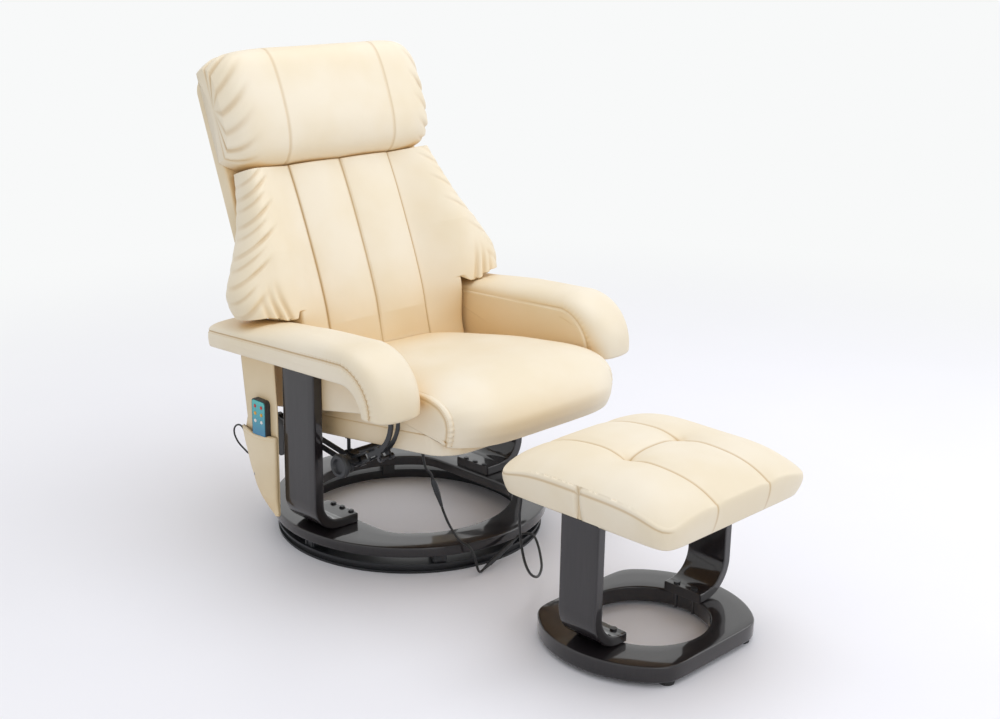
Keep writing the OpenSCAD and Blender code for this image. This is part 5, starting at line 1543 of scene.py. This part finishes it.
@dataclass
class RearCover:
    """Flat rear of the back: a covered shell with rounded edges, a sewn border and a middle seam."""

    shape: BackShape
    half: float = 284.0
    waist: float = 246.0
    shoulder: float = 48.0
    step: float = 6.0
    corner: float = 50.0
    thickness: float = 35.5
    border: float = 12.0

    def build(self) -> None:
        """Makes the cover from its outline in (x, v); it is drawn over the board's edges."""
        low = self.shape.top - self.corner
        right = [(self.waist, BACK_LOW), (self.waist, self.shoulder - self.step),
                 (self.waist + self.step, self.shoulder), (self.half - self.step, self.shoulder),
                 (self.half, self.shoulder + self.step), (self.half, low)]
        right += [(self.half - self.corner * (1 - math.cos(a)), low + self.corner * math.sin(a))
                  for a in quarter(12)]
        left = [(-x, v) for x, v in reversed(right)]
        outline = even_path(np.array(right + left + right[:1]), 420, True)
        x, v, n = np.moveaxis(pad_rings(outline, self.thickness, 6.0, 0.0), -1, 0)
        rear = n < 1.0
        seam = bump(x, 0.0, 2.2) * rear
        n = n + 1.4 * seam + wrinkles(x, v, 41, 160.0, 0.8) * rear
        points = self.shape.at(x, v, np.clip(n, 0.0, self.thickness))
        # Painted shade, with some seam dirt: the middle seam is darkened through the crease values.
        cover = skin_piece("rear_cover", points, np.clip(seam * 0.8, 0, 1))
        place(cover, "cover_cloth", Body.BACK, "back_shell")
        inset = offset_outline(outline, self.border)
        path = self.shape.at(inset[:, 0], inset[:, 1], -0.2)
        out = self.shape.at(0.0, 0.0, -1.0) - self.shape.at(0.0, 0.0, 0.0)
        place(stitch_piece("rear_border_stitches", path, np.tile(out, (len(path), 1))), "thread", Body.BACK)


@dataclass
class FootstoolCushion:
    """Footstool's padding: a crowned top with two tufts joined by seams, and sides drawn over the board."""

    width: float = 430.0
    depth: float = 415.0
    low: float = 308.4
    board_low: float = 322.3
    board_half: tuple[float, float] = (200.6, 193.1)
    height: float = 101.0
    tuft_x: float = 81.0
    tuft_deep: float = 10.0
    tuft_r: float = 36.0
    dimple_r: float = 9.0
    seam_deep: float = 7.0
    seam_r: float = 16.0
    squareness: float = 14.0
    middle: float = 0.95
    bulge: float = 8.0
    tuck: float = 4.0
    top_columns: int = 181
    wall_columns: int = 29

    def seams(self, x: np.ndarray, y: np.ndarray, width: float) -> np.ndarray:
        """Nearness to the two seams along y and to the one between them, of that width."""
        return bump(np.abs(x), self.tuft_x, width) + bump(y, 0.0, width) * (np.abs(x) < self.tuft_x)

    def lift(self, x: np.ndarray, y: np.ndarray) -> np.ndarray:
        """Height of the top above the low edge: a crowned block less the tufts and the seams' hollows."""
        edge = 1 - np.abs(2 * x / self.width) ** 5 * 0.32 - np.abs(2 * y / self.depth) ** 4 * 0.36
        away = [(x - s * self.tuft_x) ** 2 + y ** 2 for s in (-1, 1)]
        tufts, dimple = (sum(np.exp(-d / r ** 2) for d in away) for r in (self.tuft_r, self.dimple_r))
        cross = bump(y, 0.0, self.seam_r) * (1 - ease(self.tuft_x - 6, self.tuft_x + 2, np.abs(x)))
        hollow = bump(np.abs(x), self.tuft_x, self.seam_r) + cross
        return (self.height * edge - self.tuft_deep * tufts - self.seam_deep * 0.6 * hollow
                - 1.6 * np.clip(self.seams(x, y, 2.2), 0, 1) - 5.0 * dimple)

    def rows(self) -> tuple[np.ndarray, np.ndarray]:
        """Shares across and along of the plan's edge: even in the middle, then closing round the two ends.

        Returns:
            Columns u and q with |u| ** n + q ** n = 1.
        """
        n = self.squareness
        middle = np.linspace(-self.middle, self.middle, 183)
        q_end = np.linspace((1 - self.middle ** n) ** (1 / n), 0.03, 30)[1:]
        u_end = (1 - q_end ** n) ** (1 / n)
        u = np.concatenate([-u_end[::-1], middle, u_end])
        q = np.concatenate([q_end[::-1], (1 - np.abs(middle) ** n) ** (1 / n), q_end])
        return u[:, None], q[:, None]

    def build(self) -> None:
        """Makes the cushion from strips along y: the top, a wall that bulges and tucks in, a hollow base."""
        u, q = self.rows()
        w = np.sin(np.linspace(0.5, -0.5, self.top_columns) * math.pi)[None, :]
        x, half_y = u * self.width / 2, q * self.depth / 2
        y = w * half_y
        z = self.low + self.lift(x, y)
        z = z + wrinkles(x, y, 51, 150.0, 1.8) * (1 - np.abs(u) ** 6) * (1 - np.abs(w) ** 6)
        top = np.stack([x + 0 * y, y, z], axis=-1)
        power = self.squareness - 1
        out = unit(np.stack([np.sign(u) * np.abs(u) ** power / self.width, q ** power / self.depth], axis=-1))
        t = np.linspace(0, 1, self.wall_columns + 1)[None, 1:]
        ends = np.abs(out[..., 0])
        gather = np.sin(np.arctan2(y[:, :1], x) * 90.0) * ease(0.2, 0.6, ends) * (1 - ease(0.97, 1.0, ends))
        piping = bump(t, 0.16, 0.03) * ease(0.3, 0.8, ends)
        away = self.bulge * np.sin(math.pi * t ** 0.52) ** 0.8 - self.tuck * t ** 2
        away = away + 0.7 * gather * np.sin(math.pi * t) - 1.5 * piping
        wall_x, wall_y = x + out[..., :1, 0] * away, half_y + out[..., :1, 1] * away
        near, far = (np.stack([wall_x, side * wall_y, mix(edge_z, self.low, t)], axis=-1)
                     for side, edge_z in ((-1, z[:, -1:]), (1, z[:, :1])))
        far = far[:, ::-1]
        s = np.concatenate([np.linspace(0, 0.06, 14), np.linspace(0.07, 0.93, 24), np.linspace(0.94, 1, 14)])
        base = mix(near[:, -1:], far[:, :1], s[None, 1:-1, None])
        over = [1 - ease(limit, limit + 2.4, np.abs(base[..., k])) for k, limit in enumerate(self.board_half)]
        base[..., 2] = mix(self.low, self.board_low, over[0] * over[1])
        points = np.concatenate([top, near, base, far], axis=1)
        points[..., :2] += FOOTSTOOL_CENTRE
        # Painted shade, with some seam dirt: darker along the tufts' seams and the piping, through the crease
        # values.
        line = np.clip(0.8 * bump(np.abs(x), self.tuft_x, 2.4) * (1 - t) ** 0.3 + 0.7 * piping, 0, 1)
        crease = np.concatenate([np.clip(self.seams(x, y, 2.4) * 0.8, 0, 1), line, np.zeros(base.shape[:2]),
                                 line[:, ::-1]], axis=1)
        cushion = skin_piece("footstool_padding", points, crease)
        place(cushion, "leatherette", Body.FOOTSTOOL, "footstool_cushion", fill=0.8)


# Pouch


@dataclass
class Pouch:
    """Hanging bag: a strip from the arm with a pocket that narrows to its foot."""

    x: float = 333.0
    sheet: float = 2.5
    deep: float = 14.6
    strip_z: tuple[float, float] = (459.0, 80.0)
    pocket_z: tuple[float, float] = (262.0, 82.0)
    rear: tuple = ((-456, 192), (-290, 170), (-254, 181), (-184, 155), (-142, 134), (-96, 94), (-78, 68))
    front: tuple = ((-456, 71), (-328, 62), (-262, 62), (-84, 62), (-78, 66))
    pocket_rear: tuple = ((-262, 184), (-254, 181), (-184, 155), (-142, 134), (-96, 94), (-78, 68))

    def across(self, z: np.ndarray, front: tuple, rear: tuple, count: int) -> tuple[np.ndarray, np.ndarray]:
        """Shares from the front edge to the rear one, and the y of each at each height."""
        t = np.linspace(0, 1, count)[None, :]
        start, end = (np.interp(-z, *np.array(edge, float).T)[:, None] for edge in (front, rear))
        return t, mix(start, end, t)

    def strip(self) -> np.ndarray:
        """Rings of the back strip: left edge, right edge and thickness at each height."""
        z = np.linspace(*self.strip_z, 120)
        _, y = self.across(z, self.front, self.rear, 24)
        outer, inner = (np.stack([0 * y - x, y, z[:, None] + 0 * y], axis=-1)
                        for x in (self.x + self.sheet, self.x))
        return np.concatenate([outer, inner[:, ::-1]], axis=1)

    def pocket(self) -> np.ndarray:
        """Rings of the pocket: a shell that leaves the strip at its edges and bulges outwards."""
        z = np.linspace(*self.pocket_z, 90)
        t, y = self.across(z, self.front[2:], self.pocket_rear, 60)
        full = (0.35 + 0.65 * ease(82.0, 128.0, z))[:, None]
        away = (self.deep + self.sheet) * np.sin(t * math.pi) ** 0.3 * full
        mouth = ease(236.0, 262.0, z)[:, None]
        zz = z[:, None] + 6.0 * mouth * (1 - np.sin(t * math.pi))
        start = self.x + self.sheet
        outer = np.stack([-(start + away), y, zz], axis=-1)
        inner_y = mix(y, y.mean(1, keepdims=True), 0.02)
        inner = np.stack([-(start + np.maximum(away - 1.6, 0.05)), inner_y, zz], axis=-1)
        return np.concatenate([outer, inner[:, ::-1]], axis=1)

    def build(self) -> None:
        """Makes the strip, the pocket and its hem."""
        sheet_rings = self.strip()
        back = place(skin_piece("pouch_strip", sheet_rings), "cover_cloth", Body.TURNING, "pouch")
        rings = self.pocket()
        front = place(skin_piece("pouch_pocket_front", rings), "cover_cloth", Body.TURNING)
        mouth = rings[3, 2:58]
        out = np.tile([-1.0, 0.0, 0.0], (len(mouth), 1))
        hem = place(stitch_piece("pouch_hem_stitches", mouth, out), "thread", Body.TURNING)


# The whole


@dataclass
class MassageChair:
    """The chair and its footstool."""

    shape: BackShape = field(default_factory=BackShape)

    def build(self) -> None:
        """Makes every piece, from the floor up."""
        palette.dress_nodes()
        Cords().build()
        build_woodwork()
        for side in (LEFT, RIGHT):
            ArmPanel(side).build()
            ArmPad(side).build()
        SeatCushion().build()
        SeatFrame().build()
        SeatSkirt().build()
        RearCover(self.shape).build()
        MiddlePadding(self.shape).build()
        for side in (LEFT, RIGHT):
            Bolster(self.shape, side).build()
        Headrest(self.shape).build()
        Pouch().build()
        FootstoolCushion().build()


def main() -> None:
    logging.basicConfig(level=logging.INFO, format="%(message)s")
    Studio().build()
    MassageChair().build()


if __name__ == "__main__":
    main()
